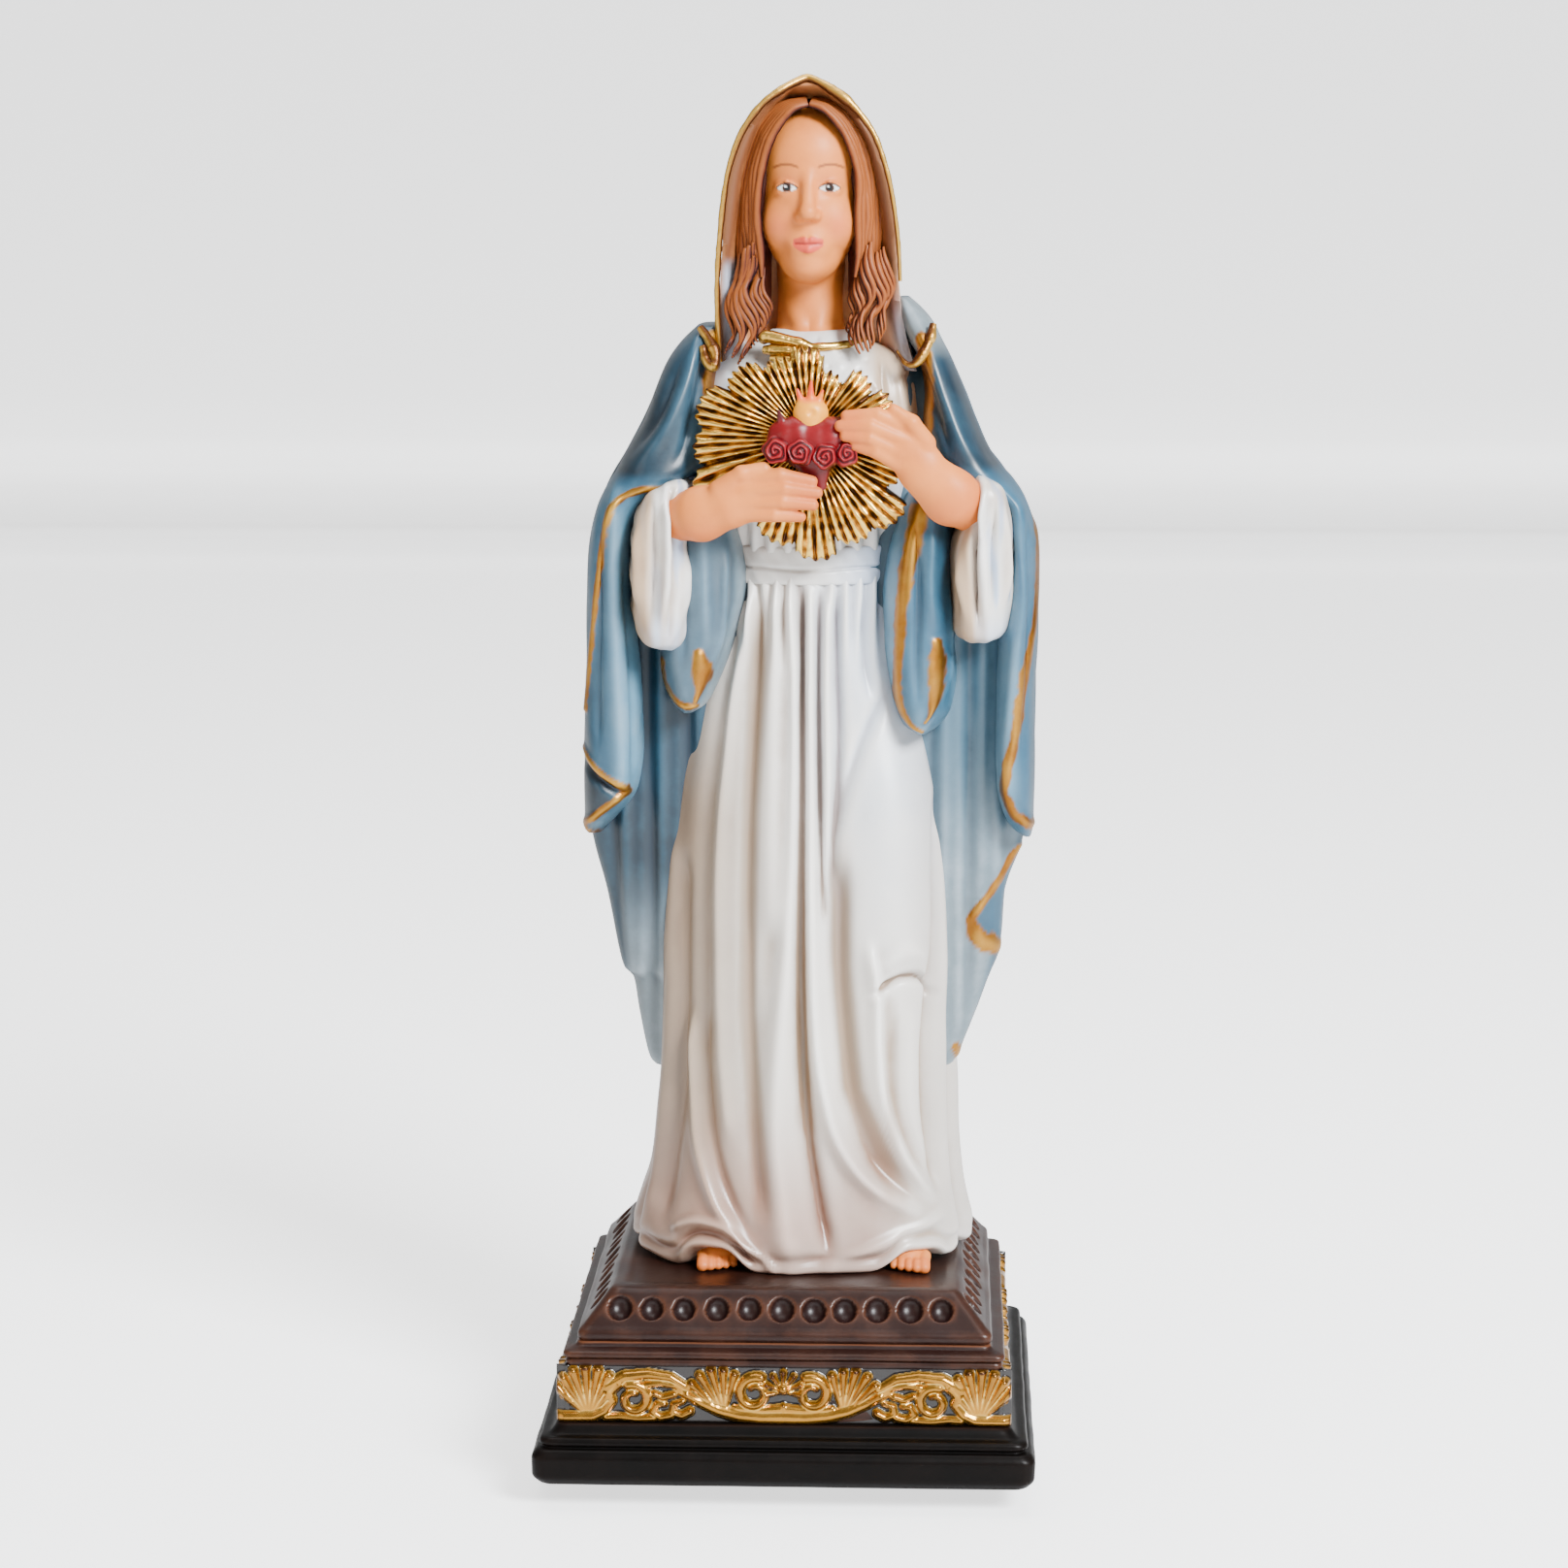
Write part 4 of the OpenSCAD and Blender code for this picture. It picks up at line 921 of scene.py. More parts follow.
# %% The back of the mantle
MANTLE_ROWS = [
    (37.4, -13.6, 16.0, -3.4, 10.4), (38.4, -14.6, 17.0, -3.8, 11.3), (43, -15.6, 18.9, -4.2, 12.0),
    (46.6, -16.3, 20.2, -4.4, 12.4), (47.6, -17.3, 20.6, -4.5, 12.5), (50, -18.0, 21.4, -4.6, 12.7),
    (56, -19.1, 21.9, -4.8, 13.0), (61, -20.3, 23.6, -4.8, 13.2), (66, -21.0, 24.5, -4.8, 13.4),
    (80, -20.8, 24.6, -4.6, 13.4), (91, -20.4, 24.5, -4.4, 13.0), (97, -18.8, 22.4, -4.2, 12.2),
    (101, -16.6, 19.9, -4.0, 11.4), (104, -15.0, 18.6, -3.8, 10.8), (107, -13.7, 17.5, -3.5, 10.2),
    (110, -12.2, 16.1, -1.0, 9.4), (111.6, -10.9, 14.9, 1.0, 8.8), (112.6, -9.4, 13.4, 2.4, 8.2),
]
BACK_FOLDS = [
    ([(108, -6), (95, -11), (78, -14.5), (60, -15.5), (44, -12.5), (38, -11)], 1.0, 0.9, 1.9),
    ([(108, -4), (95, -8), (78, -10.6), (60, -11.4), (44, -9.6), (38, -8.6)], -1.0, 0.8, 1.3),
    ([(110, -2), (96, -5), (78, -7), (60, -7.4), (44, -6.2), (38, -5.6)], 0.9, 0.7, 1.7),
    ([(98, -2), (80, -3.2), (62, -3.6), (44, -2.8), (38, -2.4)], -1.1, 0.6, 1.2),
    ([(104, 1.6), (80, 0.8), (60, 0.4), (38, 0.6)], 1.0, 0.7, 1.8),
    ([(98, 5), (80, 4.6), (62, 4.4), (44, 4.2), (38, 3.8)], -1.1, 0.6, 1.2),
    ([(110, 6.5), (96, 8.6), (78, 9.6), (60, 9.0), (44, 7.4), (38, 6.8)], 0.9, 0.7, 1.7),
    ([(108, 8), (95, 12), (78, 14.4), (60, 13.6), (44, 10.8), (38, 10)], -1.0, 0.8, 1.3),
    ([(108, 10), (95, 15.4), (78, 18.8), (60, 17.8), (44, 14.0), (38, 13)], 1.0, 0.9, 1.9),
]
SIDE_FOLDS = [
    ([(104, 2.5), (90, 1.5), (72, 1.0), (56, 1.5), (42, 2.5)], -0.9, 0.8, 1.0),
    ([(106, 5.5), (92, 4.6), (74, 4.4), (56, 4.8), (42, 5.4)], 0.7, 0.9, 1.2),
    ([(104, 8.4), (90, 8.0), (70, 8.2), (50, 8.4)], -0.6, 0.8, 1.0),
]


def make_mantle_back():
    rows, cols = 205, 400
    turns = np.linspace(0, 2 * math.pi, cols, endpoint=False)[None, :] + np.zeros((rows, 1))
    wave = 0.9 * np.sin(7 * turns[:1] + 0.6) + 0.5 * np.sin(12 * turns[:1])
    low = 37.6 + wave * ease(0.2, 0.6, np.sin(turns[:1]))
    z = low + np.linspace(0, 1, rows)[:, None] * (112.6 - low)
    x, y = rounded_section(MANTLE_ROWS, z, turns, 0.74)
    back = ease(0.25, 0.6, np.sin(turns))
    side = ease(0.55, 0.85, np.abs(np.cos(turns)))
    front = ease(0.25, 0.6, -np.sin(turns))
    lift = (fold_lift(x, z, BACK_FOLDS, []) * back
        * (1 - 0.75 * ease(76, 96, z) * np.exp(-(((x - 1.8) / 8) ** 2))) * ease(112, 100, z))
    lift += fold_lift(y, z, SIDE_FOLDS, []) * side * (1 - back)
    lift += front * (0.32 * np.sin(2 * math.pi * x / 4.1 + 0.03 * z)
        + 0.12 * np.sin(2 * math.pi * x / 1.9 + 1))
    for k in range(4):
        level = 103 - 6.0 * k + 0.04 * (x - 1.8) ** 2
        lift += (back * 0.24 * np.exp(-(((z - level) / (1.9 + 0.3 * k)) ** 2))
            * np.exp(-(((x - 1.8) / (7 + k)) ** 2)))
    grid = np.stack([x, y, z], -1)
    grid += grid_normals(grid, True) * (lift + 0.10 * ripple(grid, 8.0, 41))[..., None]
    x, z = grid[..., 0], grid[..., 2]
    forward = ease(1.5, -1.5, grid[..., 1])
    zigzag = [[(23.3, 60.8, 0.8), (22.4, 59.6, 1), (20.9, 57.0, 1), (19.2, 54.6, 1.1), (18.2, 53.2, 1.3)],
              [(18.3, 53.0, 1.6), (19.0, 51.6, 2.4), (20.3, 50.7, 2.4), (21.5, 50.1, 1.6)],
              [(16.9, 39.8, 1.3), (17.2, 38.8, 1.0)]]
    lifted, gold = border(grid, zigzag, 0.42, forward)
    hem = (1 - ease(0.25, 0.5, np.abs(z - low - 1.1))) * (grid[..., 1] > 3)
    gold = np.clip(gold + hem * ease(-0.9, -0.2, ripple(grid, 2.5, 73)), 0, 1)
    grid += grid_normals(grid, True) * (0.22 * lifted + 0.18 * hem)[..., None]
    edge_left = np.interp(z, [46, 47.5, 55, 62, 70], [-14, -16.6, -17.4, -18.2, -19.5])
    edge_right = np.interp(z, [38, 44, 50, 53.2, 57, 60.6, 66], [19, 19.2, 20.6, 18.6, 21.0, 23.0, 23.6])
    lining = forward * (ease(-0.5, 0.5, x - edge_left) * (x < 1) + ease(0.5, -0.5, x - edge_right) * (x > 1))
    lining = np.maximum(lining, forward * (x < 1) * ease(47.6, 46.4, z))
    shade = lining * np.where(x < 1, ease(48, 62, z), 0.3 + 0.6 * ease(54, 74, z))
    white = lining * np.where(x < 1, 0.8 - 0.8 * ease(46, 60, z), 0.75 - 0.7 * ease(52, 74, z))
    # Painted shade: besides the shade mask on the lining, deep darkens the front left beside the robe, in the
    # recess under the hanging front.
    deep = 0.45 + 0.25 * ripple(grid, 18, 51) + 0.6 * shade + forward * (x < 1) * (1 - lining) * 0.35
    pale = lining * (x > 1) * 0.4
    return skin("mantle_back_cast", grid, MANTLE, blue_tints(deep, pale, white, gold), steps=12)


keep(make_mantle_back(), "mantle_blue", "mantle_back")

# %% The hanging fronts
RIGHT_ROWS = [
    (62.6, -20.9, -19.2, -5.0, 1.0), (63.3, -21.0, -18.2, -6.2, 2.0), (66, -21.1, -15.7, -7.4, 3.0),
    (69, -21.1, -14.8, -7.8, 3.0), (73, -21.1, -14.6, -8.0, 3.0), (78, -20.9, -14.9, -8.2, 3.0),
    (83, -20.7, -15.4, -8.4, 3.0), (88, -20.6, -15.8, -8.8, 3.0), (92, -20.4, -15.6, -9.2, 3.0),
    (95, -19.8, -15.0, -9.6, 3.0), (96.8, -19.0, -13.2, -9.8, 3.0), (98, -18.3, -10.6, -9.9, 3.5),
    (99.2, -17.5, -8.6, -9.8, 4.0), (101, -16.6, -7.8, -9.4, 5.0), (104, -14.9, -7.6, -8.8, 6.0),
    (107, -13.7, -7.6, -8.0, 6.5), (110, -12.3, -7.4, -7.0, 6.5), (112, -10.9, -6.9, -6.0, 6.0),
    (113.5, -9.4, -6.7, -4.6, 5.0),
]
RIGHT_FOLDS = [
    ([(98, -17.0), (90, -17.6), (80, -17.4), (72, -17.0), (66, -17.0)], 0.7, 0.6, 1.1),
    ([(94, -18.4), (86, -19.0), (78, -19.3), (71, -19.2)], -0.55, 0.5, 0.7),
    ([(90, -16.4), (80, -15.9), (72, -15.7), (67, -16.0)], -0.4, 0.35, 0.5),
    ([(113, -9.0), (108, -10.2), (103, -12.4), (99, -15.6)], 0.6, 0.6, 0.9),
    ([(112, -8.4), (107, -9.0), (102, -10.2), (99.5, -11.6)], -0.5, 0.45, 0.6),
    ([(110, -11.0), (105, -13.0), (100.5, -16.0)], -0.45, 0.5, 0.6),
]
LEFT_ROWS = [
    (62.2, 23.3, 24.6, -5.0, 1.0), (63.3, 22.0, 24.7, -6.2, 2.0), (66, 21.0, 24.7, -7.2, 3.0),
    (70, 20.7, 24.7, -7.6, 3.0), (76, 20.7, 24.8, -7.9, 3.0), (82, 20.9, 24.9, -8.1, 3.0),
    (88, 21.4, 24.8, -8.4, 3.0), (92, 21.8, 24.7, -8.8, 3.0), (95, 21.4, 24.0, -9.2, 3.0),
    (96.5, 20.6, 23.4, -9.4, 3.0), (98.0, 18.4, 22.4, -9.6, 3.0), (99.0, 16.0, 21.5, -9.6, 3.5),
    (100.2, 14.2, 20.5, -9.4, 4.0), (101.5, 13.5, 19.7, -9.2, 5.0), (104, 13.3, 18.6, -8.6, 6.0),
    (107, 13.4, 17.5, -7.8, 6.5), (110, 12.9, 16.2, -6.8, 6.5), (112, 11.8, 15.1, -6.0, 6.0),
    (113.8, 11.0, 14.1, -5.4, 5.4), (115.2, 10.7, 12.9, -4.6, 4.6), (116.2, 10.7, 11.8, -3.4, 3.4),
]
LEFT_FOLDS = [
    ([(96, 22.6), (88, 23.2), (80, 22.6), (72, 22.0), (66, 22.2)], 0.6, 0.5, 0.7),
    ([(94, 23.6), (86, 24.0), (78, 23.6), (70, 23.2)], -0.4, 0.35, 0.5),
    ([(112, 13.8), (107, 15.2), (102, 17.2), (99, 19.6)], 0.5, 0.5, 0.8),
    ([(110, 13.6), (105, 14.6), (101, 16.0)], -0.45, 0.4, 0.5),
]


def hanging_front(name, table, folds, creases, lines, wide, painter, seed):
    rows, cols = int(60 + 3.6 * (table[-1][0] - table[0][0])), 175
    turns = np.linspace(0, 2 * math.pi, cols, endpoint=False)[None, :] + np.zeros((rows, 1))
    z = np.linspace(table[0][0], table[-1][0], rows)[:, None] + 0 * turns
    x, y = rounded_section(table, z, turns, 0.78)
    facing = ease(0.05, 0.4, -np.sin(turns))
    lift = fold_lift(x, z, folds, creases) * facing
    grid = np.stack([x, y, z], -1)
    grid += grid_normals(grid, True) * (lift + 0.09 * ripple(grid, 7.0, seed))[..., None]
    lifted, gold = border(grid, lines, wide, ease(-0.5, -3.0, grid[..., 1]))
    grid += grid_normals(grid, True) * (0.26 * lifted)[..., None]
    deep, pale, white = painter(grid[..., 0], grid[..., 2])
    seen = ease(1.5, -2.0, grid[..., 1])
    deep, pale, white = 0.45 + (deep - 0.45) * seen, pale * seen, white * seen
    return skin(name, grid, MANTLE, blue_tints(deep + 0.15 * ripple(grid, 9, seed), pale, white, gold),
        steps=10)


def right_painter(x, z):
    # Painted light: pale lightens the inner fold next to the lining, a painted highlight, and a spot on the
    # shoulder, another painted highlight; deep is painted shade in the band under the shoulder fold, in the
    # recess under the turned hem and on the outer edge, and it also darkens the part above the arm.
    pale = ease(-18.6, -16.2, x) * ease(62, 70, z) * ease(99, 92, z) * 0.9
    pale = pale + np.exp(-(((x + 9.0) / 1.6) ** 2) - (((z - 103.0) / 4.0) ** 2)) * 0.5
    deep = (0.45 * ease(-19.4, -20.6, x) + 0.6 * np.exp(-(((z - 99.3) / 1.2) ** 2))
        + 0.95 * ease(98.5, 100.5, z) - 0.25 * ease(108, 112, z))
    below = z - np.interp(x, [-21, -16.2], [70.6, 67.2])
    deep = deep + 0.9 * ease(0.2, -0.8, below) * (z > np.interp(x, [-21, -16.2], [63.4, 67.0])) * (x < -16)
    return deep, pale, 0.25 * ease(66, 63, z)


def left_painter(x, z):
    # Painted light: pale lightens the inner fold, a painted highlight; deep is painted shade in the band
    # under the shoulder fold and on the outer edge, and it darkens the part above the arm.
    pale = ease(23.4, 22.0, x) * ease(95, 88, z) * ease(62, 68, z) * 0.7
    deep = (0.35 * ease(23.9, 24.6, x) + 0.5 * np.exp(-(((z - 99.8) / 1.4) ** 2)) + 0.95 * ease(99, 101, z)
        - 0.3 * ease(107, 111, z))
    return deep, pale, 0.9 * ease(110.0, 112.6, z) + 0.25 * ease(22.2, 21.2, x) * (z < 96)


right_lines = [
    [(-12.4, 97.9, 0.8), (-14.6, 97.6, 0.9), (-16.8, 96.6, 1), (-17.9, 94.6, 1), (-18.6, 91, 1),
    (-19.3, 86, 0.9), (-20.0, 80, 0.8), (-20.6, 75, 0.7)],
    [(-20.8, 71.0, 0.8), (-19.6, 69.4, 1), (-17.9, 68.2, 1.1), (-16.6, 67.4, 1.3)],
    [(-16.4, 67.0, 1.3), (-17.9, 65.8, 1.1), (-19.4, 64.6, 1.0), (-20.8, 63.3, 1.0)],
    [(-20.8, 63.2, 0.8), (-20.2, 62.6, 0.8), (-19.2, 62.5, 0.8)],
    [(-8.0, 102.0, 1.4), (-7.8, 105, 2.0), (-7.8, 109, 2.2), (-7.4, 112.5, 2.2)],
]
right_creases = [([(-20.8, 69.6), (-19.4, 68.4), (-17.8, 67.4), (-16.8, 66.9)], -0.75, 0.55)]
left_lines = [
    [(23.4, 98.0, 0.5), (24.3, 95.0, 0.6), (24.7, 90, 0.7), (24.5, 85, 0.9), (23.8, 81, 1.2), (23.1, 77, 1.5),
    (22.6, 73, 1.5), (21.9, 70, 1.4), (21.7, 67.2, 1.3)],
    [(21.8, 66.8, 1.3), (22.5, 65.2, 1.5), (23.5, 64.2, 1.5), (24.5, 63.4, 1.3)],
    [(13.6, 102, 1.4), (13.8, 106, 1.9), (13.6, 110, 1.9), (13.0, 112.5, 1.6)],
]
keep(hanging_front("mantle_right_front_cast", RIGHT_ROWS, RIGHT_FOLDS, right_creases,
    right_lines, 0.36, right_painter, 61),
     "mantle_blue", "mantle_right_front")
keep(hanging_front("mantle_left_front_cast", LEFT_ROWS, LEFT_FOLDS, [], left_lines, 0.36, left_painter, 62),
     "mantle_blue", "mantle_left_front")

# %% [markdown]
# ## Lappets and sleeves
# The two lappets are tongues of the mantle that hang over the robe at the waist. The sleeves
# hang from the raised arms as deep pouches, with a crease where the opening turns inwards.

# %% Lappets
LAPPET_RIGHT = [
    (75.3, -11.0, -9.2, -9.6, -6.5), (76.0, -11.9, -8.0, -10.0, -6.3), (78, -12.8, -6.9, -10.2, -6.0),
    (81.5, -13.4, -5.5, -10.2, -5.6), (86.5, -13.6, -4.2, -9.8, -5.0), (90.5, -13.4, -4.2, -9.4, -4.6),
    (94, -12.6, -5.0, -9.2, -4.0), (96.5, -11.8, -6.4, -8.6, -4.0),
]
LAPPET_LEFT = [
    (73.2, 12.2, 14.2, -9.4, -6.0), (73.8, 11.2, 15.2, -9.9, -6.0), (75.4, 10.3, 16.3, -10.3, -5.8),
    (78.5, 9.6, 16.8, -10.4, -5.4), (82, 9.2, 16.7, -10.2, -5.0), (88, 9.2, 16.6, -9.9, -4.6),
    (93, 10.2, 16.4, -9.7, -4.2), (97, 11.6, 16.2, -9.5, -4.0),
]
lappet_left_lines = [
    [(12.9, 95.4, 2.6), (12.4, 92.5, 2.6), (11.7, 89.5, 2.2), (11.2, 85, 1.8), (11.0, 81, 1.4),
    (10.9, 77.5, 1.3), (11.4, 75.6, 1.2), (12.3, 74.3, 0.8), (13.3, 73.7, 0.6)],
    [(14.7, 82.6, 1.4), (14.8, 80.8, 2.3), (14.7, 78.6, 2.4), (14.5, 76.8, 1.5),
    (14.1, 75.4, 0.6), (13.6, 74.6, 0.4)],
]
lappet_right_lines = [
    [(-12.6, 80.4, 0.8), (-12.3, 78.2, 1.0), (-11.3, 76.7, 1.1), (-10.2, 76.1, 1.0), (-9.2, 76.2, 0.8)],
    [(-8.9, 81.2, 2.0), (-8.6, 79.4, 2.9), (-9.0, 77.6, 1.3), (-9.3, 76.6, 0.7)],
]
lappet_folds_left = [([(94, 12.6), (86, 12.9), (80, 12.8), (75.6, 12.9)], -0.5, 0.35, 0.6),
                     ([(95, 14.3), (88, 14.0), (84, 14.6)], 0.5, 0.5, 0.6),
                     ([(88, 15.8), (80, 16.0), (76, 15.4)], 0.4, 0.3, 0.4)]
lappet_folds_right = [([(95, -8.6), (88, -8.4), (82, -8.2)], 0.45, 0.6, 0.7),
    ([(95, -10.8), (86, -10.4), (79, -10.6)], -0.55, 0.5, 0.8),
                      ([(92, -6.2), (84, -6.6), (79, -8.0)], 0.4, 0.4, 0.4)]


def lappet_right_painter(x, z):
    """Slate blue, with a pale rim on the edge next to the robe."""
    inner = np.interp(z, [76, 78, 81.5, 86.5, 90.5, 94], [-8.0, -6.9, -5.5, -4.2, -4.2, -5.0])
    rim = ease(-1.5, -0.6, x - inner)
    return 0.35 + 0.4 * ease(-10.5, -12.5, x), 0.8 * rim, 0.22 + 0.5 * rim


def lappet_left_painter(x, z):
    pale = (0.8 * ease(11.4, 10.2, x) + 0.35 * np.exp(-(((x - 13.2) / 0.7) ** 2)) * ease(86, 78, z)
        + 0.5 * ease(15.9, 16.6, x))
    return 0.45 * np.exp(-(((x - 14.2) / 1.4) ** 2)) * ease(82, 92, z), pale, 0.2 * ease(77, 73, z)


keep(hanging_front("lappet_right_cast", LAPPET_RIGHT, lappet_folds_right, [], lappet_right_lines,
    0.34, lappet_right_painter, 63),
     "mantle_blue", "right_lappet")
keep(hanging_front("lappet_left_cast", LAPPET_LEFT, lappet_folds_left, [], lappet_left_lines,
    0.36, lappet_left_painter, 64),
     "mantle_blue", "left_lappet")

# %% Sleeves
SLEEVE_RIGHT = [
    (81.8, -13.4, -11.2, -10.4, -7.0), (82.4, -14.9, -10.1, -11.3, -6.0), (84, -15.7, -9.6, -11.7, -5.6),
    (88, -16.1, -9.5, -11.9, -5.2), (92, -16.0, -9.6, -12.0, -5.0), (95, -15.6, -9.8, -12.1, -5.0),
    (97, -14.6, -9.5, -12.0, -5.4), (98.1, -12.8, -9.6, -11.2, -6.2), (98.5, -11.8, -10.2, -10.2, -7.2),
]
SLEEVE_LEFT = [
    (82.6, 17.4, 20.4, -10.4, -7.0), (83.2, 16.5, 21.6, -11.3, -6.0), (84.6, 16.0, 22.2, -11.7, -5.6),
    (88, 15.9, 22.6, -11.9, -5.2), (92, 16.0, 22.6, -12.0, -5.0), (95, 17.2, 22.4, -12.1, -5.0),
    (97.4, 17.6, 21.8, -12.0, -5.4), (98.7, 18.0, 20.6, -11.2, -6.2), (99.2, 18.4, 19.8, -10.2, -7.2),
]
sleeve_folds_right = [
    ([(97.4, -11.4), (94, -11.2), (90, -11.1), (86, -11.3), (83.4, -11.8)], -0.75, 0.24, 0.34),
    ([(97.6, -12.0), (94, -11.9), (90, -11.9), (86, -12.2), (84, -12.6)], 0.5, 0.32, 0.5),
    ([(96, -13.3), (90, -13.2), (85, -13.6)], -0.42, 0.32, 0.42),
    ([(95, -14.7), (89, -14.8), (85, -14.6)], 0.35, 0.35, 0.5),
    ([(92, -10.3), (88, -10.1), (84.5, -10.4)], 0.35, 0.3, 0.4), ([(90, -9.8), (86, -9.9)], -0.3, 0.24, 0.3),
]
sleeve_folds_left = [
    ([(97.6, 18.6), (94, 18.4), (90, 18.4), (86, 18.6), (84, 19.0)], -0.75, 0.22, 0.34),
    ([(97.8, 19.3), (94, 19.1), (90, 19.2), (85.4, 19.4)], 0.5, 0.3, 0.45),
    ([(96, 20.4), (90, 20.3), (86, 20.2)], -0.5, 0.26, 0.36),
    ([(96, 21.3), (90, 21.5), (86, 21.3)], 0.35, 0.32, 0.4),
    ([(91.5, 17.0), (88, 17.2), (85, 17.6)], 0.4, 0.34, 0.45), ([(90, 16.4), (86, 16.8)], -0.35, 0.26, 0.3),
]


def make_sleeve(name, table, folds, seed, shade_side):
    rows, cols = 150, 165
    turns = np.linspace(0, 2 * math.pi, cols, endpoint=False)[None, :] + np.zeros((rows, 1))
    z = np.linspace(table[0][0], table[-1][0], rows)[:, None] + 0 * turns
    x, y = rounded_section(table, z, turns, 0.66)
    lift = (1.9 * fold_lift(x, z, folds, []) * ease(0.0, 0.4, -np.sin(turns))
        + 0.22 * np.sin(9 * turns) * ease(0.2, -0.2, -np.sin(turns)))
    grid = np.stack([x, y, z], -1)
    grid += grid_normals(grid, True) * (lift + 0.12 * ripple(grid, 2.6, seed))[..., None]
    x, z = grid[..., 0], grid[..., 2]
    middle = (table[3][1] + table[3][2]) / 2
    strokes = ripple(grid * [1.0, 0.6, 0.14], 1.5, seed + 2)
    # Painted light: the beige tint is painted shade on the left half of each sleeve, away from the key panel,
    # streaked by brush strokes; the cool tint puts blue streaks on the right half and a blue tint at the
    # bottom.
    warm_shade = 0.15 + 0.85 * ease(-0.2, 1.8, (x - middle) * shade_side) + 0.30 * strokes
    cool = (0.5 * ease(86.5, 83, z)
        + 0.9 * ease(0.2, 0.9, ripple(grid * [1.0, 0.6, 0.12], 1.3, seed + 1))
        * ease(-1.0, 1.6, (middle - x) * shade_side))
    return skin(name, grid, ROBE, white_tints(cool, warm_shade), steps=5)


keep(make_sleeve("sleeve_right_cast", SLEEVE_RIGHT, sleeve_folds_right, 81, -1), "robe_white", "right_sleeve")
keep(make_sleeve("sleeve_left_cast", SLEEVE_LEFT, sleeve_folds_left, 83, -1), "robe_white", "left_sleeve")

# %% [markdown]
# ## Hands, heart and flame
# These are the freely modelled lumps of the figure. A modeller builds them up from rolls of
# clay smoothed into each other; here each is a set of tapered rolls, balls and cuts, blended
# as one field and turned into a skin by the volume tools.

# %% Modelling in the round
def roll_field(p, a, b, ra, rb, flat=(1.0, 1.0, 1.0)):
    """Distance to a tapered roll from a to b."""
    a, b, f = np.asarray(a, float), np.asarray(b, float), np.asarray(flat, float)
    ab, ap = (b - a) / f, (p - a) / f
    t = np.clip((ap @ ab) / (ab @ ab + 1e-9), 0, 1)
    return np.linalg.norm(ap - t[..., None] * ab, axis=-1) - (ra + (rb - ra) * t)


def ball_field(p, c, r):
    """Distance-like field of an ellipsoid."""
    r = np.asarray(r, float)
    q = (p - np.asarray(c, float)) / r
    k = np.linalg.norm(q, axis=-1)
    return (k - 1) * r.min() * np.clip(0.4 + 0.6 * k, 0.4, 2)


def merge(a, b, k):
    """Smooth union over the distance k."""
    h = np.clip(0.5 + 0.5 * (b - a) / k, 0, 1)
    return b + (a - b) * h - k * h * (1 - h)


def carve(a, b, k):
    """a with b smoothly taken away."""
    return -merge(-a, b, k)


def modelled(name, low, high, cell, field, paint, painter):
    """The skin of a field in the box low..high; painter(points) gives the marks."""
    low, high = np.asarray(low, float), np.asarray(high, float)
    n = np.ceil((high - low) / cell).astype(int) + 1
    axes = [low[k] + cell * np.arange(n[k]) for k in range(3)]
    p = np.stack(np.meshgrid(*axes, indexing="ij"), -1)
    values = np.clip(field(p), -4 * cell, 4 * cell).astype(np.float32)
    grid = openvdb.FloatGrid(4 * cell)
    grid.copyFromArray(values)
    points, _, quads = grid.convertToPolygons(isovalue=0.0)
    points = points * cell + low
    return cast_mesh(name, points, [np.asarray(quads, int)], paint, painter(points))


def plain_tints(points, base, glaze_and_shade, light):
    rows = [np.zeros((len(points), 3)) + np.array(colour(*c))[:3] for c in (base, glaze_and_shade, light)]
    return rows


def wash(rows, amount, shade):
    """Brush one more colour over all three tints where amount is not 0."""
    amount = np.clip(amount, 0, 1)
    return [blend_rows(r, np.array(colour(*shade)), amount) for r in rows]


# %% Hands
SKIN = ((222, 146, 78), (170, 90, 42), (236, 172, 102))


def skin_tints(points, blush):
    rows = plain_tints(points, *SKIN)
    rows = wash(rows, 0.35 * (0.5 + 0.5 * ripple(points, 6.0, 91)), (228, 150, 86))
    rows = wash(rows, blush, (208, 114, 66))
    return three_tints(*rows)


def with_fingers(p, hand, fingers, blend=0.34):
    for a, b, c, r in fingers:
        finger = merge(roll_field(p, a, b, r * 1.12, r), roll_field(p, b, c, r, r * 0.74), 0.12)
        hand = merge(hand, finger, blend)
    return hand


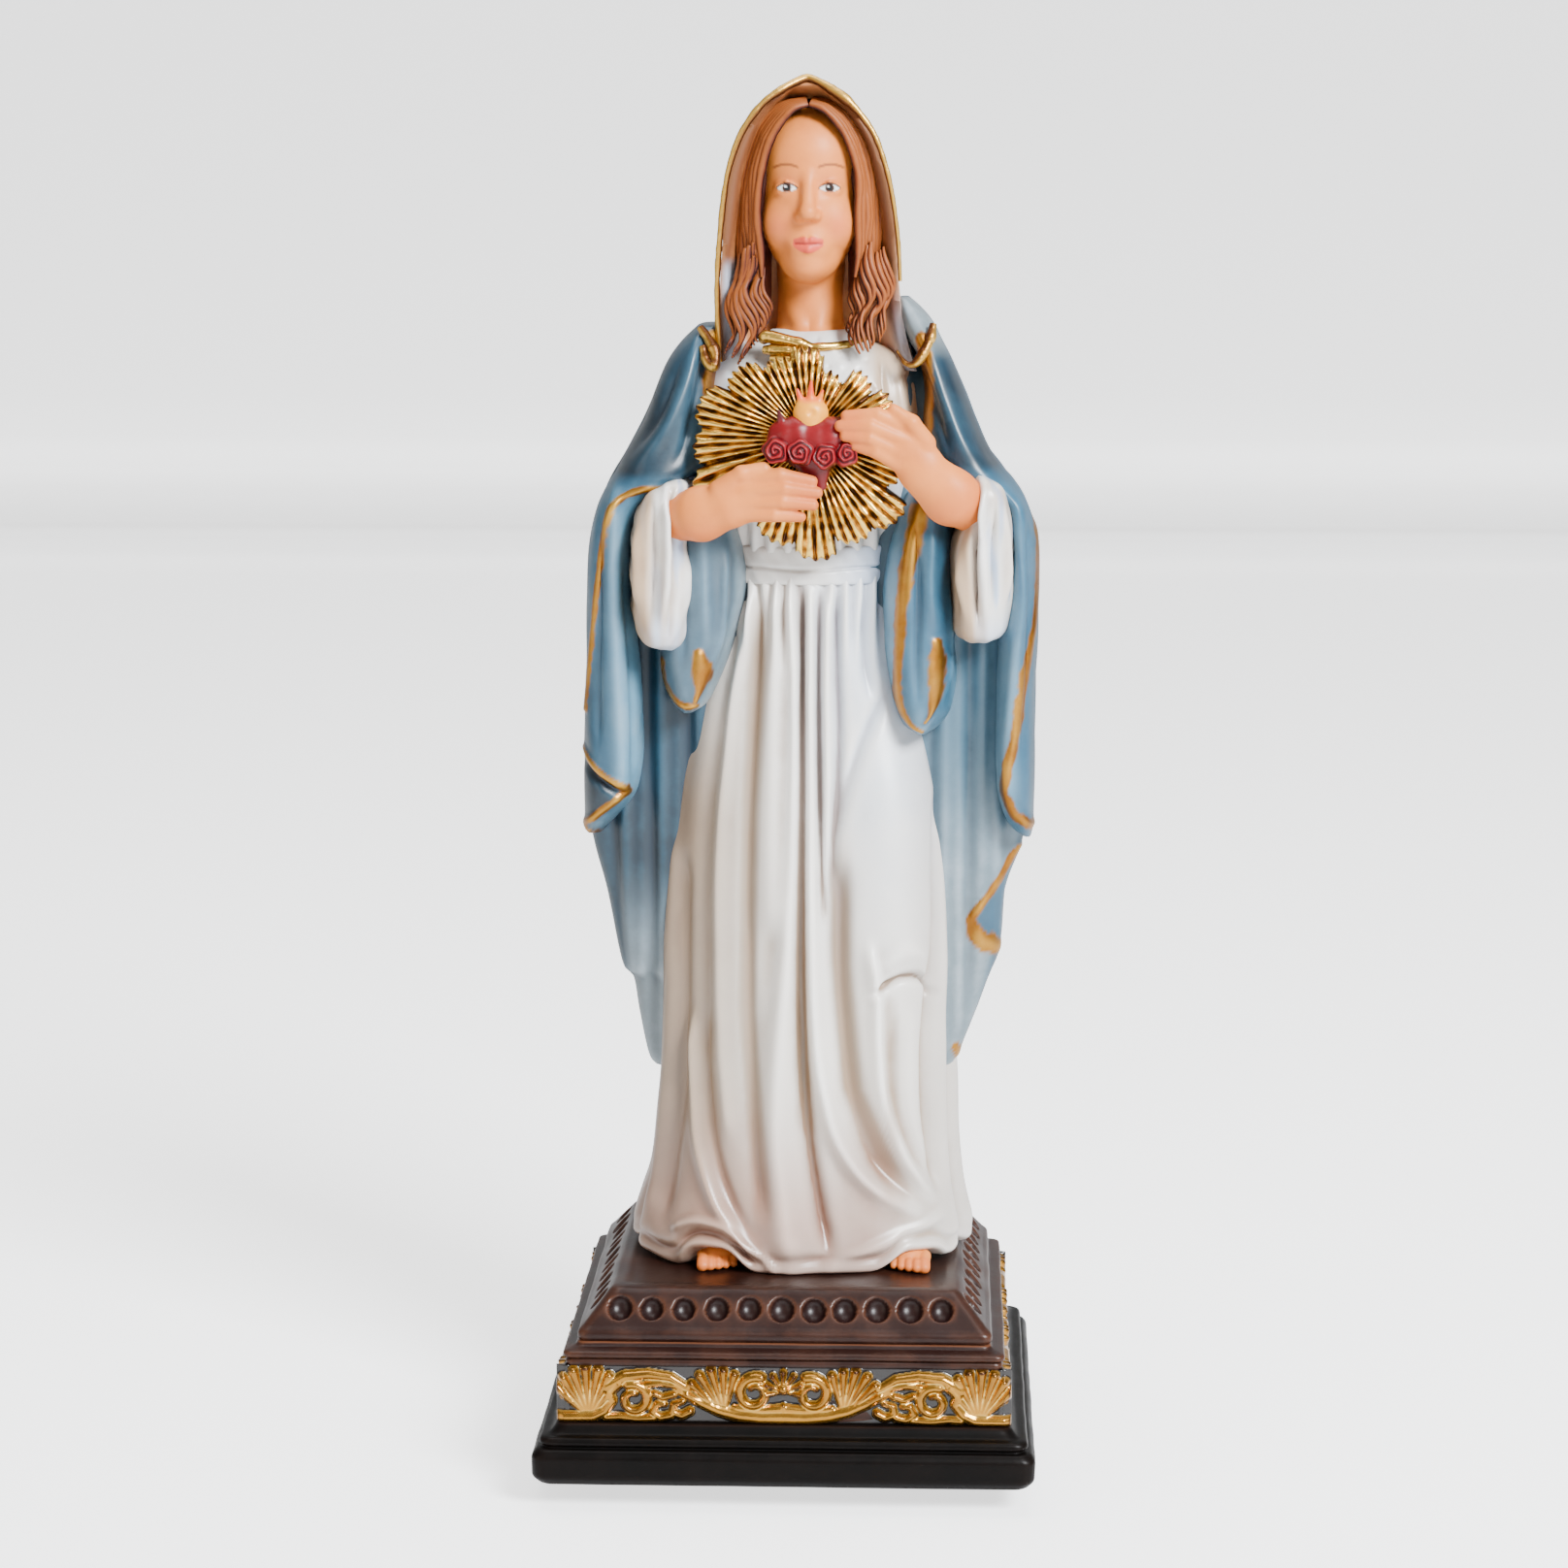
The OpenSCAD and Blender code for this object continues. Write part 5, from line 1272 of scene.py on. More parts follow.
def right_hand_field(p):
    arm = roll_field(p, (-11.6, -9.2, 94.8), (-8.4, -11.9, 95.5), 2.3, 2.6, (1, 0.8, 1))
    arm = merge(arm, roll_field(p, (-8.4, -11.9, 95.5), (-5.6, -13.0, 96.4), 2.6, 2.2, (1, 0.7, 1)), 0.8)
    palm = roll_field(p, (-5.4, -13.2, 96.8), (-3.6, -13.4, 97.3), 2.2, 2.25, (1, 0.5, 1))
    hand = with_fingers(p, merge(arm, palm, 0.9), [
        ((-4.2, -13.4, 99.0), (-0.6, -14.1, 99.5), (2.5, -14.0, 98.9), 0.74),
        ((-4.2, -13.6, 97.9), (-0.2, -14.4, 98.2), (3.0, -14.2, 97.8), 0.76),
        ((-4.2, -13.6, 96.7), (-0.4, -14.4, 96.9), (2.6, -14.2, 96.6), 0.74),
        ((-4.4, -13.4, 95.6), (-1.2, -14.1, 95.6), (1.4, -13.9, 95.4), 0.70)])
    thumb = merge(roll_field(p, (-6.6, -13.2, 98.0), (-4.4, -13.9, 99.6), 1.0, 0.8),
                  roll_field(p, (-4.4, -13.9, 99.6), (-2.2, -13.7, 100.2), 0.8, 0.58), 0.3)
    return merge(hand, thumb, 0.4)


def left_hand_field(p):
    arm = roll_field(p, (18.2, -8.8, 95.8), (16.0, -11.2, 97.2), 2.4, 2.7, (1, 0.8, 1))
    arm = merge(arm, roll_field(p, (16.0, -11.2, 97.2), (13.2, -12.6, 99.8), 2.75, 2.3, (1, 0.7, 1)), 0.8)
    palm = roll_field(p, (12.9, -12.9, 100.6), (11.3, -13.2, 102.2), 2.15, 2.2, (1, 0.5, 1))
    hand = with_fingers(p, merge(arm, palm, 0.9), [
        ((12.2, -13.2, 103.8), (8.9, -13.9, 105.4), (5.8, -13.8, 105.3), 0.72),
        ((11.6, -13.4, 102.8), (8.2, -14.2, 104.3), (5.2, -14.0, 104.3), 0.76),
        ((11.0, -13.4, 101.7), (8.1, -14.2, 103.1), (5.7, -14.0, 103.3), 0.74),
        ((10.7, -13.2, 100.7), (8.6, -14.0, 101.9), (6.7, -13.8, 102.3), 0.70)])
    thumb = merge(roll_field(p, (13.6, -13.0, 102.6), (12.2, -13.8, 104.6), 0.95, 0.8),
                  roll_field(p, (12.2, -13.8, 104.6), (10.4, -13.8, 105.9), 0.8, 0.56), 0.3)
    return merge(hand, thumb, 0.4)


FLESH = resin_paint("flesh", colour(228, 168, 128), colour(196, 122, 84), colour(242, 198, 160),
                    rough=0.52, coat=0.04, spread=0.4, mottle=0.08, scale=300, tint="tint", shine=0.3)
keep(modelled("hand_right_cast", (-16.5, -16.5, 90.5), (4.5, -5.5, 102.5), 0.13, right_hand_field, FLESH,
              lambda p: skin_tints(p, 0.5 * ease(-1.5, 2.2, p[:, 0]) + 0.3 * ease(95, 93.4, p[:, 2]))),
              "flesh", "right_hand")
keep(modelled("hand_left_cast", (4.0, -16.5, 91.5), (22.5, -5.0, 108.0), 0.13, left_hand_field, FLESH,
              lambda p: skin_tints(p, 0.5 * ease(9, 6, p[:, 0])
              + 0.3 * ease(0, 3, p[:, 0] - 0.9 * (p[:, 2] - 82)))), "flesh", "left_hand")


# %% Feet
def foot_field(p, cx, side):
    foot = roll_field(p, (cx, -4.0, 19.9), (cx + 0.1 * side, -8.6, 19.4), 1.9, 1.55, (1.15, 1, 0.75))
    for k in range(5):
        x = cx + side * (-1.55 + 0.78 * k)
        reach = -11.3 + (0.10, 0.0, 0.25, 0.55, 0.95)[k]
        size = (0.62, 0.48, 0.45, 0.42, 0.38)[k]
        toe = merge(roll_field(p, (x, -8.8, 19.5), (x, reach + 0.7, 19.2), size * 1.1, size * 0.9),
                    roll_field(p, (x, reach + 0.7, 19.2), (x, reach + 0.3, 18.85), size, size), 0.1)
        foot = merge(foot, toe, 0.2)
    return np.maximum(foot, 18.33 - p[..., 2])


for name, cx, side, node in (("foot_right_cast", -7.1, 1, "right_foot"),
        ("foot_left_cast", 12.3, -1, "left_foot")):
    keep(modelled(name, (cx - 3.5, -12.6, 17.9), (cx + 3.5, -1.5, 22.6), 0.11,
        lambda p: foot_field(p, cx, side), FLESH,
                  lambda p: skin_tints(p, 0.4 * ease(-9.6, -11.0, p[:, 1]))), "flesh", node)

# %% The heart and its flame
HEART_AT = (2.3, -12.3, 101.6)


def heart_field(p):
    q = p - np.array(HEART_AT)
    body = merge(ball_field(q, (-1.9, 0, 1.5), (2.35, 1.6, 2.0)),
        ball_field(q, (2.0, 0, 1.5), (2.35, 1.6, 2.0)), 0.6)
    body = merge(body, roll_field(q, (0.0, 0, 0.4), (0.9, -0.1, -3.2), 2.9, 0.7, (1, 0.58, 1)), 0.9)
    for side, x in ((-1, -2.6), (1, 2.9)):
        body = merge(body, roll_field(q, (x, -0.5, 2.5), (x + 0.5 * side, -0.9, 4.1), 0.6, 0.16, (1, 0.6, 1)),
            0.2)
    veins = (0.07 * np.sin(3.0 * q[..., 0] + 1.5 * np.sin(1.6 * q[..., 2]))
        * np.sin(2.2 * q[..., 2] + q[..., 0]))
    return body + veins


def flame_field(p):
    q = p - np.array((2.3, -12.2, 105.2))
    body = ball_field(q, (0, 0, 0.2), (1.75, 1.35, 1.55))
    body = merge(body, roll_field(q, (0, 0, -0.8), (0, 0, -2.0), 1.3, 0.9), 0.4)
    for x, high, lean in ((-0.95, 2.5, -0.35), (-0.1, 3.3, 0.15), (0.75, 2.4, 0.4), (0.2, 2.1, -0.2)):
        body = merge(body, roll_field(q, (x * 0.8, -0.2, 0.9), (x + lean, -0.3, high), 0.5, 0.16), 0.3)
    return carve(body, ball_field(q, (0.1, -1.5, 0.3), (0.4, 0.4, 0.34)), 0.25)


def heart_tints(p):
    rows = plain_tints(p, (140, 24, 36), (66, 8, 18), (190, 66, 76))
    rows = wash(rows, 0.8 * ease(104.4, 105.2, p[:, 2]) * (np.abs(p[:, 0] - 2.4) > 2.2), (70, 14, 24))
    return three_tints(*wash(rows, 0.5 * ease(104, 100, p[:, 2]), (104, 14, 26)))


def flame_tints(p):
    rows = plain_tints(p, (238, 172, 52), (214, 118, 32), (250, 210, 104))
    tips = ease(106.3, 107.3, p[:, 2] + 0.25 * ripple(p, 1.4, 95))
    return three_tints(*wash(rows, tips * 0.9, (222, 66, 48)))


CRIMSON = resin_paint("crimson", colour(160, 44, 62), colour(88, 14, 30), colour(198, 84, 96),
                      rough=0.4, coat=0.1, spread=0.2, mottle=0.2, scale=500, tint="tint", shine=0.3)
FIRE = resin_paint("fire", colour(236, 186, 92), colour(212, 128, 56), colour(250, 222, 140),
                   rough=0.4, coat=0.06, spread=0.2, mottle=0.1, scale=500, tint="tint", shine=0.3)
keep(modelled("heart_cast", (-3.5, -15.0, 96.5), (8.0, -9.5, 106.5), 0.11, heart_field, CRIMSON, heart_tints),
     "heart_red", "heart")
keep(modelled("flame_cast", (-0.8, -14.6, 102.0), (5.4, -9.8, 109.5), 0.10, flame_field, FIRE, flame_tints),
     "flame_yellow", "flame")

# %% [markdown]
# ## The burst of rays
# The rays are one flat piece: bundles of flutes that run out from behind the heart, each
# bundle ending in its own step. It is modelled as a disc in polar rings, where the length
# of each bundle gives the outline and rounded flutes run outwards between sharp grooves.

# %% Ray burst
# Each bundle: direction in degrees (0 = figure's left, 90 = up), spread, reach in mm, flutes.
BUNDLES = [
    (2, 20, 7.4, 4), (24, 22, 8.8, 4), (47, 22, 8.2, 4), (69, 20, 6.8, 3),
    (90, 22, 8.8, 4), (113, 22, 8.4, 4),
    (137, 24, 9.8, 5), (162, 24, 11.4, 5), (184, 20, 11.4, 4), (204, 18, 12.4, 3), (226, 24, 9.4, 4),
    (250, 24, 10.8, 4), (273, 22, 12.0, 4), (295, 20, 11.2, 4), (316, 22, 11.8, 4), (338, 20, 9.8, 4),
]


def make_rays():
    middle = np.array([2.1, -10.4, 102.8])
    rows, cols = 58, 760
    a = np.linspace(0, 360, cols, endpoint=False)[None, :] + np.zeros((rows, 1))
    f = np.linspace(0.02, 1, rows)[:, None] + np.zeros((1, cols))
    reach = np.zeros(cols)
    flute = np.zeros(cols)
    step = np.zeros(cols)
    rng = np.random.default_rng(5)
    best = np.full(cols, 9.0)
    for angle, spread, far, count in BUNDLES:
        off = (a[0] - angle + 180) % 360 - 180
        near = np.abs(off) / (spread / 2 + 0.8)
        mine = near < best
        share = (off / spread + 0.5) * count
        tip = (far * (1 - 0.05 * np.abs(2 * (share - 0.5) / count - 1) ** 2)
            + 0.25 * np.cos(2 * math.pi * share))
        reach = np.where(mine, tip, reach)
        flute = np.where(mine, np.abs(np.sin(math.pi * share)) ** 0.8, flute)
        step = np.where(mine, rng.uniform(-0.3, 0.3), step)
        best = np.where(mine, near, best)
    edge = ease(1.0, 0.86, best)
    reach = reach * (0.86 + 0.14 * edge)
    reach = soften(np.stack([reach] * 3), 1, True)[1]
    r = f * reach[None, :]
    x = middle[0] + r * np.cos(np.radians(a))
    z = middle[2] + r * np.sin(np.radians(a))
    grow = ease(0.0, 5.0, r)
    rise = (0.62 * flute[None, :] * (0.35 + 0.65 * grow) + step[None, :] * grow) * (0.2 + 0.8 * edge[None, :])
    rise = rise + 0.5 * np.sqrt(np.clip(1 - (f - 0.25) ** 2, 0, 1)) - 0.55 * f**9
    front = np.stack([x, middle[1] - rise, z], -1)
    front[..., 1] += 0.11 * ripple(front, 1.8, 101) + 0.05 * ripple(front, 0.8, 102)
    n, last = rows * cols, (rows - 1) * cols
    back = front[-1] * [1, 0, 1] + [0, middle[1] + 0.9, 0]
    points = np.vstack([front.reshape(-1, 3), back, front[0].mean(0)])
    j = np.arange(cols)
    k = (j + 1) % cols
    faces = [np.vstack([grid_faces(rows, cols, True), np.stack([last + j, last + k, n + k, n + j], 1)]),
             np.c_[np.full(cols, n + cols), k, j], (n + j[::-1])[None, :]]
    high = 0.6 * (flute[None, :] - 0.5) * grow + 0.24 * ripple(front, 1.2, 104)
    return cast_mesh("rays_cast", points, faces, GOLD, {"ridge": np.r_[high.ravel(), np.zeros(cols + 1)]})


keep(make_rays(), "gold_paint", "ray_burst")

# %% [markdown]
# ## Head and face
# The head is modelled in the round, about as wide as the CAD head. That width is an open
# fault. The eyes sit at half the height of the head with one eye's width between them, and
# the nose and mouth divide the lower half. Brows, eyes, lips and the blush of the cheeks are
# painted on.

# %% The head as a field
HEAD_X = 1.85
EYE_SIDE = 2.1
EYE_LEVEL = 127.1


def head_field(p):
    q = p - np.array([HEAD_X, 0, 0])
    m = np.stack([np.abs(q[..., 0]), q[..., 1], q[..., 2]], -1)
    f = ball_field(q, (0, 0.6, 129.2), (5.35, 6.5, 6.9))
    f = merge(f, ball_field(q, (0, -2.1, 124.8), (4.8, 5.2, 6.8)), 2.0)
    f = merge(f, ball_field(q, (0, -3.0, 130.4), (4.3, 3.9, 4.0)), 1.5)
    f = merge(f, ball_field(m, (2.5, -4.4, 123.6), (1.9, 1.9, 2.0)), 1.6)
    f = merge(f, ball_field(q, (0, -4.4, 119.9), (2.3, 2.2, 1.9)), 1.6)
    f = carve(f, ball_field(m, (2.1, -8.6, 127.2), (1.5, 1.5, 1.0)), 1.1)
    f = merge(f, ball_field(m, (EYE_SIDE, -5.5, EYE_LEVEL), (1.35, 1.3, 1.2)), 0.25)
    f = merge(f, roll_field(m, (3.1, -6.3, 127.3), (2.1, -6.85, 127.72), 0.16, 0.22), 0.2)
    f = merge(f, roll_field(m, (2.1, -6.85, 127.72), (1.1, -6.6, 127.25), 0.22, 0.14), 0.2)
    f = merge(f, roll_field(m, (2.9, -6.3, 126.7), (1.3, -6.6, 126.6), 0.12, 0.12), 0.3)
    nose = roll_field(q, (0, -6.6, 128.4), (0, -8.1, 125.0), 0.5, 0.72)
    nose = merge(nose, ball_field(q, (0, -8.2, 124.7), (0.85, 0.85, 0.75)), 0.4)
    nose = merge(nose, ball_field(m, (0.8, -7.5, 124.4), (0.5, 0.65, 0.5)), 0.35)
    f = merge(f, nose, 0.7)
    f = merge(f, ball_field(q, (0, -6.3, 121.7), (1.9, 1.15, 1.6)), 0.8)
    f = merge(f, roll_field(m, (1.3, -6.75, 121.85), (0.3, -7.35, 122.1), 0.22, 0.34), 0.25)
    f = merge(f, roll_field(m, (0.9, -6.9, 121.3), (0.0, -7.25, 121.15), 0.3, 0.42), 0.25)
    f = carve(f, roll_field(m, (1.5, -7.1, 121.75), (0.0, -7.75, 121.68), 0.1, 0.12), 0.15)
    f = carve(f, roll_field(q, (0, -7.9, 123.4), (0, -7.75, 122.7), 0.16, 0.2), 0.3)
    f = merge(f, ball_field(q, (0, -5.7, 119.4), (1.3, 1.1, 1.0)), 1.0)
    neck = roll_field(q, (0, 0.9, 108.0), (0, 0.6, 121.0), 3.5, 3.1)
    neck = merge(neck, roll_field(m, (2.6, 1.4, 119.5), (0.7, -2.6, 112.6), 0.8, 0.6), 0.9)
    neck = merge(neck, ball_field(q, (0.1, 0.2, 110.6), (5.4, 4.9, 2.2)), 1.6)
    return merge(f, neck, 1.1)


def face_paint(p):
    rows = plain_tints(p, *SKIN)
    rows = wash(rows, 0.3 * (0.5 + 0.5 * ripple(p, 7.0, 111)), (228, 150, 86))
    x, z = p[:, 0] - HEAD_X, p[:, 2]
    front = p[:, 1] < -3.0
    side = np.abs(x)
    rows = wash(rows, 0.42 * np.exp(-(((side - 3.0) / 1.3) ** 2) - (((z - 123.4) / 1.5) ** 2)) * front,
        (216, 112, 80))
    rows = wash(rows, 0.25 * np.exp(-(((side - 2.1) / 1.5) ** 2) - (((z - 127.9) / 0.8) ** 2)) * front,
        (196, 120, 84))
    lip_top = 122.42 - 0.3 * (side / 1.5) ** 2 - 0.16 * np.exp(-((side / 0.22) ** 2))
    lip_low = 120.75 + 0.75 * (side / 1.5) ** 2
    inside = ease(-0.08, 0.08, lip_top - z) * ease(-0.08, 0.08, z - lip_low) * (side < 1.5) * front
    rows = wash(rows, 0.92 * inside, (212, 92, 76))
    rows = wash(rows, 0.8 * ease(0.14, 0.05, np.abs(z - 121.72)) * (side < 1.35) * front, (150, 48, 44))
    brow = 129.0 + 0.42 * np.sin(np.clip((side - 0.9) / 2.6, 0, 1) * math.pi * 0.85 + 0.25)
    rows = wash(rows, 0.75 * ease(0.2, 0.08, np.abs(z - brow)) * ease(0.85, 1.1, side) * ease(3.7, 3.3, side)
        * front, (126, 78, 52))
    u = (side - EYE_SIDE) / 1.05
    top = EYE_LEVEL + 0.46 * (1 - u**2)
    low = EYE_LEVEL - 0.36 * (1 - u**2)
    open_eye = ease(-0.04, 0.04, top - z) * ease(-0.04, 0.04, z - low) * (np.abs(u) < 1) * front
    rows = wash(rows, open_eye, (236, 232, 226))
    iris = np.hypot(side - EYE_SIDE, z - 127.14)
    rows = wash(rows, open_eye * ease(0.50, 0.42, iris), (74, 46, 32))
    rows = wash(rows, open_eye * ease(0.30, 0.22, iris), (14, 10, 10))
    # A painted highlight: a small white catchlight dot in each eye.
    rows = wash(rows, open_eye * ease(0.13, 0.07, np.hypot(x - 2.1 * np.sign(x) + 0.14, z - 127.3)),
        (250, 250, 250))
    rows = wash(rows, 0.9 * ease(0.15, 0.06, np.abs(z - top - 0.03)) * (np.abs(u) < 1.06) * front,
        (58, 34, 26))
    rows = wash(rows, 0.35 * ease(0.10, 0.04, np.abs(z - low)) * (np.abs(u) < 0.95) * front, (110, 70, 54))
    return three_tints(*rows)


keep(modelled("head_cast", (-4.8, -9.6, 108.2), (8.5, 8.0, 136.8), 0.13, head_field, FLESH, face_paint),
    "flesh", "head")

# %% [markdown]
# ## Hair
# Under the veil the hair is parted in the middle. A modeller presses a cap of clay on the
# skull and lays rolls on it, then scratches dark lines between them; here the cap is painted
# dark, as the shade between the rolls. Each strand here is a line with its own thickness, and
# one nodes setup turns any set of lines into tapered rolls.
# The same setup makes the gold cords of the veil and the collar.

# %% Rolls along lines
def roll_maker():
    group = bpy.data.node_groups.new("Rolls along lines", "GeometryNodeTree")
    group.interface.new_socket("Geometry", in_out="INPUT", socket_type="NodeSocketGeometry")
    for name, kind, value in (("Points Between", "NodeSocketInt", 60), ("Sides", "NodeSocketInt", 12),
                              ("Unevenness", "NodeSocketFloat", 0.1), ("Seed", "NodeSocketFloat", 1.0),
                              ("Paint", "NodeSocketMaterial", None)):
        socket = group.interface.new_socket(name, in_out="INPUT", socket_type=kind)
        if value is not None:
            socket.default_value = value
    group.interface.new_socket("Geometry", in_out="OUTPUT", socket_type="NodeSocketGeometry")
    new, join = group.nodes.new, group.links.new
    inside, outside = new("NodeGroupInput"), new("NodeGroupOutput")
    lines = new("GeometryNodeMeshToCurve")
    spaced = new("GeometryNodeResampleCurve")
    thick = new("GeometryNodeInputNamedAttribute")
    thick.data_type = "FLOAT"
    thick.inputs["Name"].default_value = "thick"
    place = new("GeometryNodeInputPosition")
    noise = new("ShaderNodeTexNoise")
    noise.noise_dimensions = "4D"
    noise.inputs["Scale"].default_value = 700.0
    vary = new("ShaderNodeMapRange")
    vary.inputs["From Min"].default_value = 0.3
    vary.inputs["From Max"].default_value = 0.7
    low = new("ShaderNodeMath")
    low.operation = "SUBTRACT"
    low.inputs[0].default_value = 1.0
    high = new("ShaderNodeMath")
    high.operation = "ADD"
    high.inputs[0].default_value = 1.0
    size = new("ShaderNodeMath")
    size.operation = "MULTIPLY"
    radius = new("GeometryNodeSetCurveRadius")
    circle = new("GeometryNodeCurvePrimitiveCircle")
    circle.inputs["Radius"].default_value = 1.0
    solid = new("GeometryNodeCurveToMesh")
    solid.inputs["Fill Caps"].default_value = True
    if "Scale" in solid.inputs:
        join(size.outputs[0], solid.inputs["Scale"])
    smooth = new("GeometryNodeSetShadeSmooth")
    real = new("GeometryNodeRealizeInstances")
    painted = new("GeometryNodeSetMaterial")
    join(inside.outputs["Geometry"], lines.inputs["Mesh"])
    join(lines.outputs["Curve"], spaced.inputs["Curve"])
    join(inside.outputs["Points Between"], spaced.inputs["Count"])
    join(place.outputs["Position"], noise.inputs["Vector"])
    join(inside.outputs["Seed"], noise.inputs["W"])
    join(noise.outputs["Fac"], vary.inputs["Value"])
    join(inside.outputs["Unevenness"], low.inputs[1])
    join(inside.outputs["Unevenness"], high.inputs[1])
    join(low.outputs[0], vary.inputs["To Min"])
    join(high.outputs[0], vary.inputs["To Max"])
    join(thick.outputs["Attribute"], size.inputs[0])
    join(vary.outputs["Result"], size.inputs[1])
    join(spaced.outputs["Curve"], radius.inputs["Curve"])
    join(size.outputs[0], radius.inputs["Radius"])
    join(inside.outputs["Sides"], circle.inputs["Resolution"])
    join(radius.outputs["Curve"], solid.inputs["Curve"])
    join(circle.outputs["Curve"], solid.inputs["Profile Curve"])
    join(solid.outputs["Mesh"], smooth.inputs["Geometry"])
    join(smooth.outputs["Geometry"], real.inputs["Geometry"])
    join(real.outputs["Geometry"], painted.inputs["Geometry"])
    join(inside.outputs["Paint"], painted.inputs["Material"])
    join(painted.outputs["Geometry"], outside.inputs["Geometry"])
    return group


ROLLS = roll_maker()


def through_nodes(name, mesh, group, paint, **values):
    """Run a mesh through a nodes setup with named inputs and keep the plain result."""
    helper = bpy.data.objects.new(name, mesh)
    bpy.context.scene.collection.objects.link(helper)
    modifier = helper.modifiers.new("nodes", "NODES")
    modifier.node_group = group
    sockets = {s.name: s.identifier for s in group.interface.items_tree if s.item_type == "SOCKET"
        and s.in_out == "INPUT"}
    modifier[sockets["Paint"]] = paint
    for key, value in values.items():
        modifier[sockets[key.replace("_", " ")]] = value
    made = bpy.data.meshes.new_from_object(helper.evaluated_get(bpy.context.evaluated_depsgraph_get()))
    helper.modifiers.clear()
    helper.data = made
    bpy.data.meshes.remove(mesh)
    made.name = name
    if not made.materials:
        made.materials.append(paint)
    return helper


def rolls(name, lines, paint, centre, count=60, sides=12, uneven=0.08, seed=1.0):
    """Tapered rolls along lines of (x, y, z, thickness) in mm; ridge = how far out a spot faces."""
    points, edges, thick = [], [], []
    for line in lines:
        dense = glide(line, 10 * len(line))
        edges += [(len(points) + k, len(points) + k + 1) for k in range(len(dense) - 1)]
        points += [tuple(q) for q in dense[:, :3] * MM]
        thick += list(np.maximum(dense[:, 3], 0.03) * MM)
    mesh = bpy.data.meshes.new(name)
    mesh.from_pydata(points, edges, [])
    mesh.attributes.new("thick", "FLOAT", "POINT").data.foreach_set("value", thick)
    piece = through_nodes(name, mesh, ROLLS, paint, Points_Between=count,
        Sides=sides, Unevenness=uneven, Seed=seed)
    data = piece.data
    co = np.zeros(len(data.vertices) * 3)
    no = np.zeros(len(data.vertices) * 3)
    data.vertices.foreach_get("co", co)
    data.vertex_normals.foreach_get("vector", no)
    out = co.reshape(-1, 3) - np.asarray(centre) * MM
    out /= np.maximum(np.linalg.norm(out, axis=1, keepdims=True), 1e-9)
    # The ridge mark here is painted light: the faces that look away from the centre get the painted highlight
    # and the faces toward it the painted shade.
    facing = np.sum(out * no.reshape(-1, 3), axis=1)
    data.attributes.new("ridge", "FLOAT", "POINT").data.foreach_set("value", 0.35 * (facing - 0.45))
    return piece


# %% Cap of hair and its strands
def hair_cap_field(p):
    q = p - np.array([HEAD_X, 0, 0])
    m = np.stack([np.abs(q[..., 0]), q[..., 1], q[..., 2]], -1)
    f = ball_field(q, (0, 0.9, 129.3), (6.3, 7.0, 7.2))
    f = merge(f, roll_field(m, (5.2, -2.2, 128), (5.1, -2.4, 116.5), 1.7, 1.5, (1, 1.4, 1)), 1.2)
    opening = np.maximum(ball_field(q, (0, -8.0, 125.4), (5.0, 6.6, 8.6)), q[..., 2] - 140)
    f = carve(f, opening, 0.5)
    return carve(f, roll_field(q, (0, -4.5, 106), (0, -4.5, 120), 4.7, 4.7), 0.5)


HAIR_CAP = resin_paint("hair in shade", colour(92, 48, 34), colour(50, 20, 14), colour(132, 82, 60),
                       rough=0.55, coat=0.02, spread=0.25, mottle=0.3, scale=500, shine=0.2)
HAIR = resin_paint("brown hair", colour(122, 66, 32), colour(46, 16, 9), colour(168, 106, 58),
                   rough=0.5, coat=0.03, spread=0.16, mottle=0.3, scale=420, shine=0.2)
# The cap is painted dark, as the shade that falls between the strands.
keep(modelled("hair_cap_cast", (-7, -7.5, 113), (10.8, 8.5, 137.2), 0.22,
    hair_cap_field, HAIR_CAP, lambda p: {}),
     "hair_brown", "hair")


def side_strand(side, k, fall):
    """One strand from the parting round the face; k counts outwards from the face."""
    x = lambda v: HEAD_X + side * v
    sway = 0.12 * math.sin(2.3 * k + side)
    return [(x(0.1 + 0.05 * k), -6.0 + 0.7 * k, 135.2 + 0.14 * k, 0.30),
        (x(1.7 + 0.3 * k), -6.4 + 0.66 * k, 134.6 + 0.10 * k, 0.46),
            (x(3.6 + 0.35 * k), -6.3 + 0.6 * k, 132.2 + 0.12 * k + sway, 0.50),
            (x(4.75 + 0.41 * k + sway), -6.0 + 0.56 * k, 128.6, 0.52),
            (x(4.95 + 0.45 * k - sway), -5.7 + 0.54 * k, 124.6, 0.52),
            (x(4.8 + 0.47 * k + sway), -5.5 + 0.5 * k, 121.0, 0.48),
            (x(4.6 + 0.5 * k), -5.3 + 0.45 * k, fall, 0.22)]


strands = []
for side in (-1, 1):
    for k in range(13):
        depth = 0.34 if k % 2 else 0.0
        strands.append([(px, py + depth, pz, pr * (0.74 if k % 2 else 0.82)) for px, py, pz, pr in
                        side_strand(side, k / 2.8, 118.4 - 0.2 * k + 0.3 * (k % 3))])
crown = rolls("hair_strands", strands, HAIR, (HEAD_X, 1.5, 127), count=80, sides=12, uneven=0.14, seed=3.0)
keep(crown, "hair_brown")


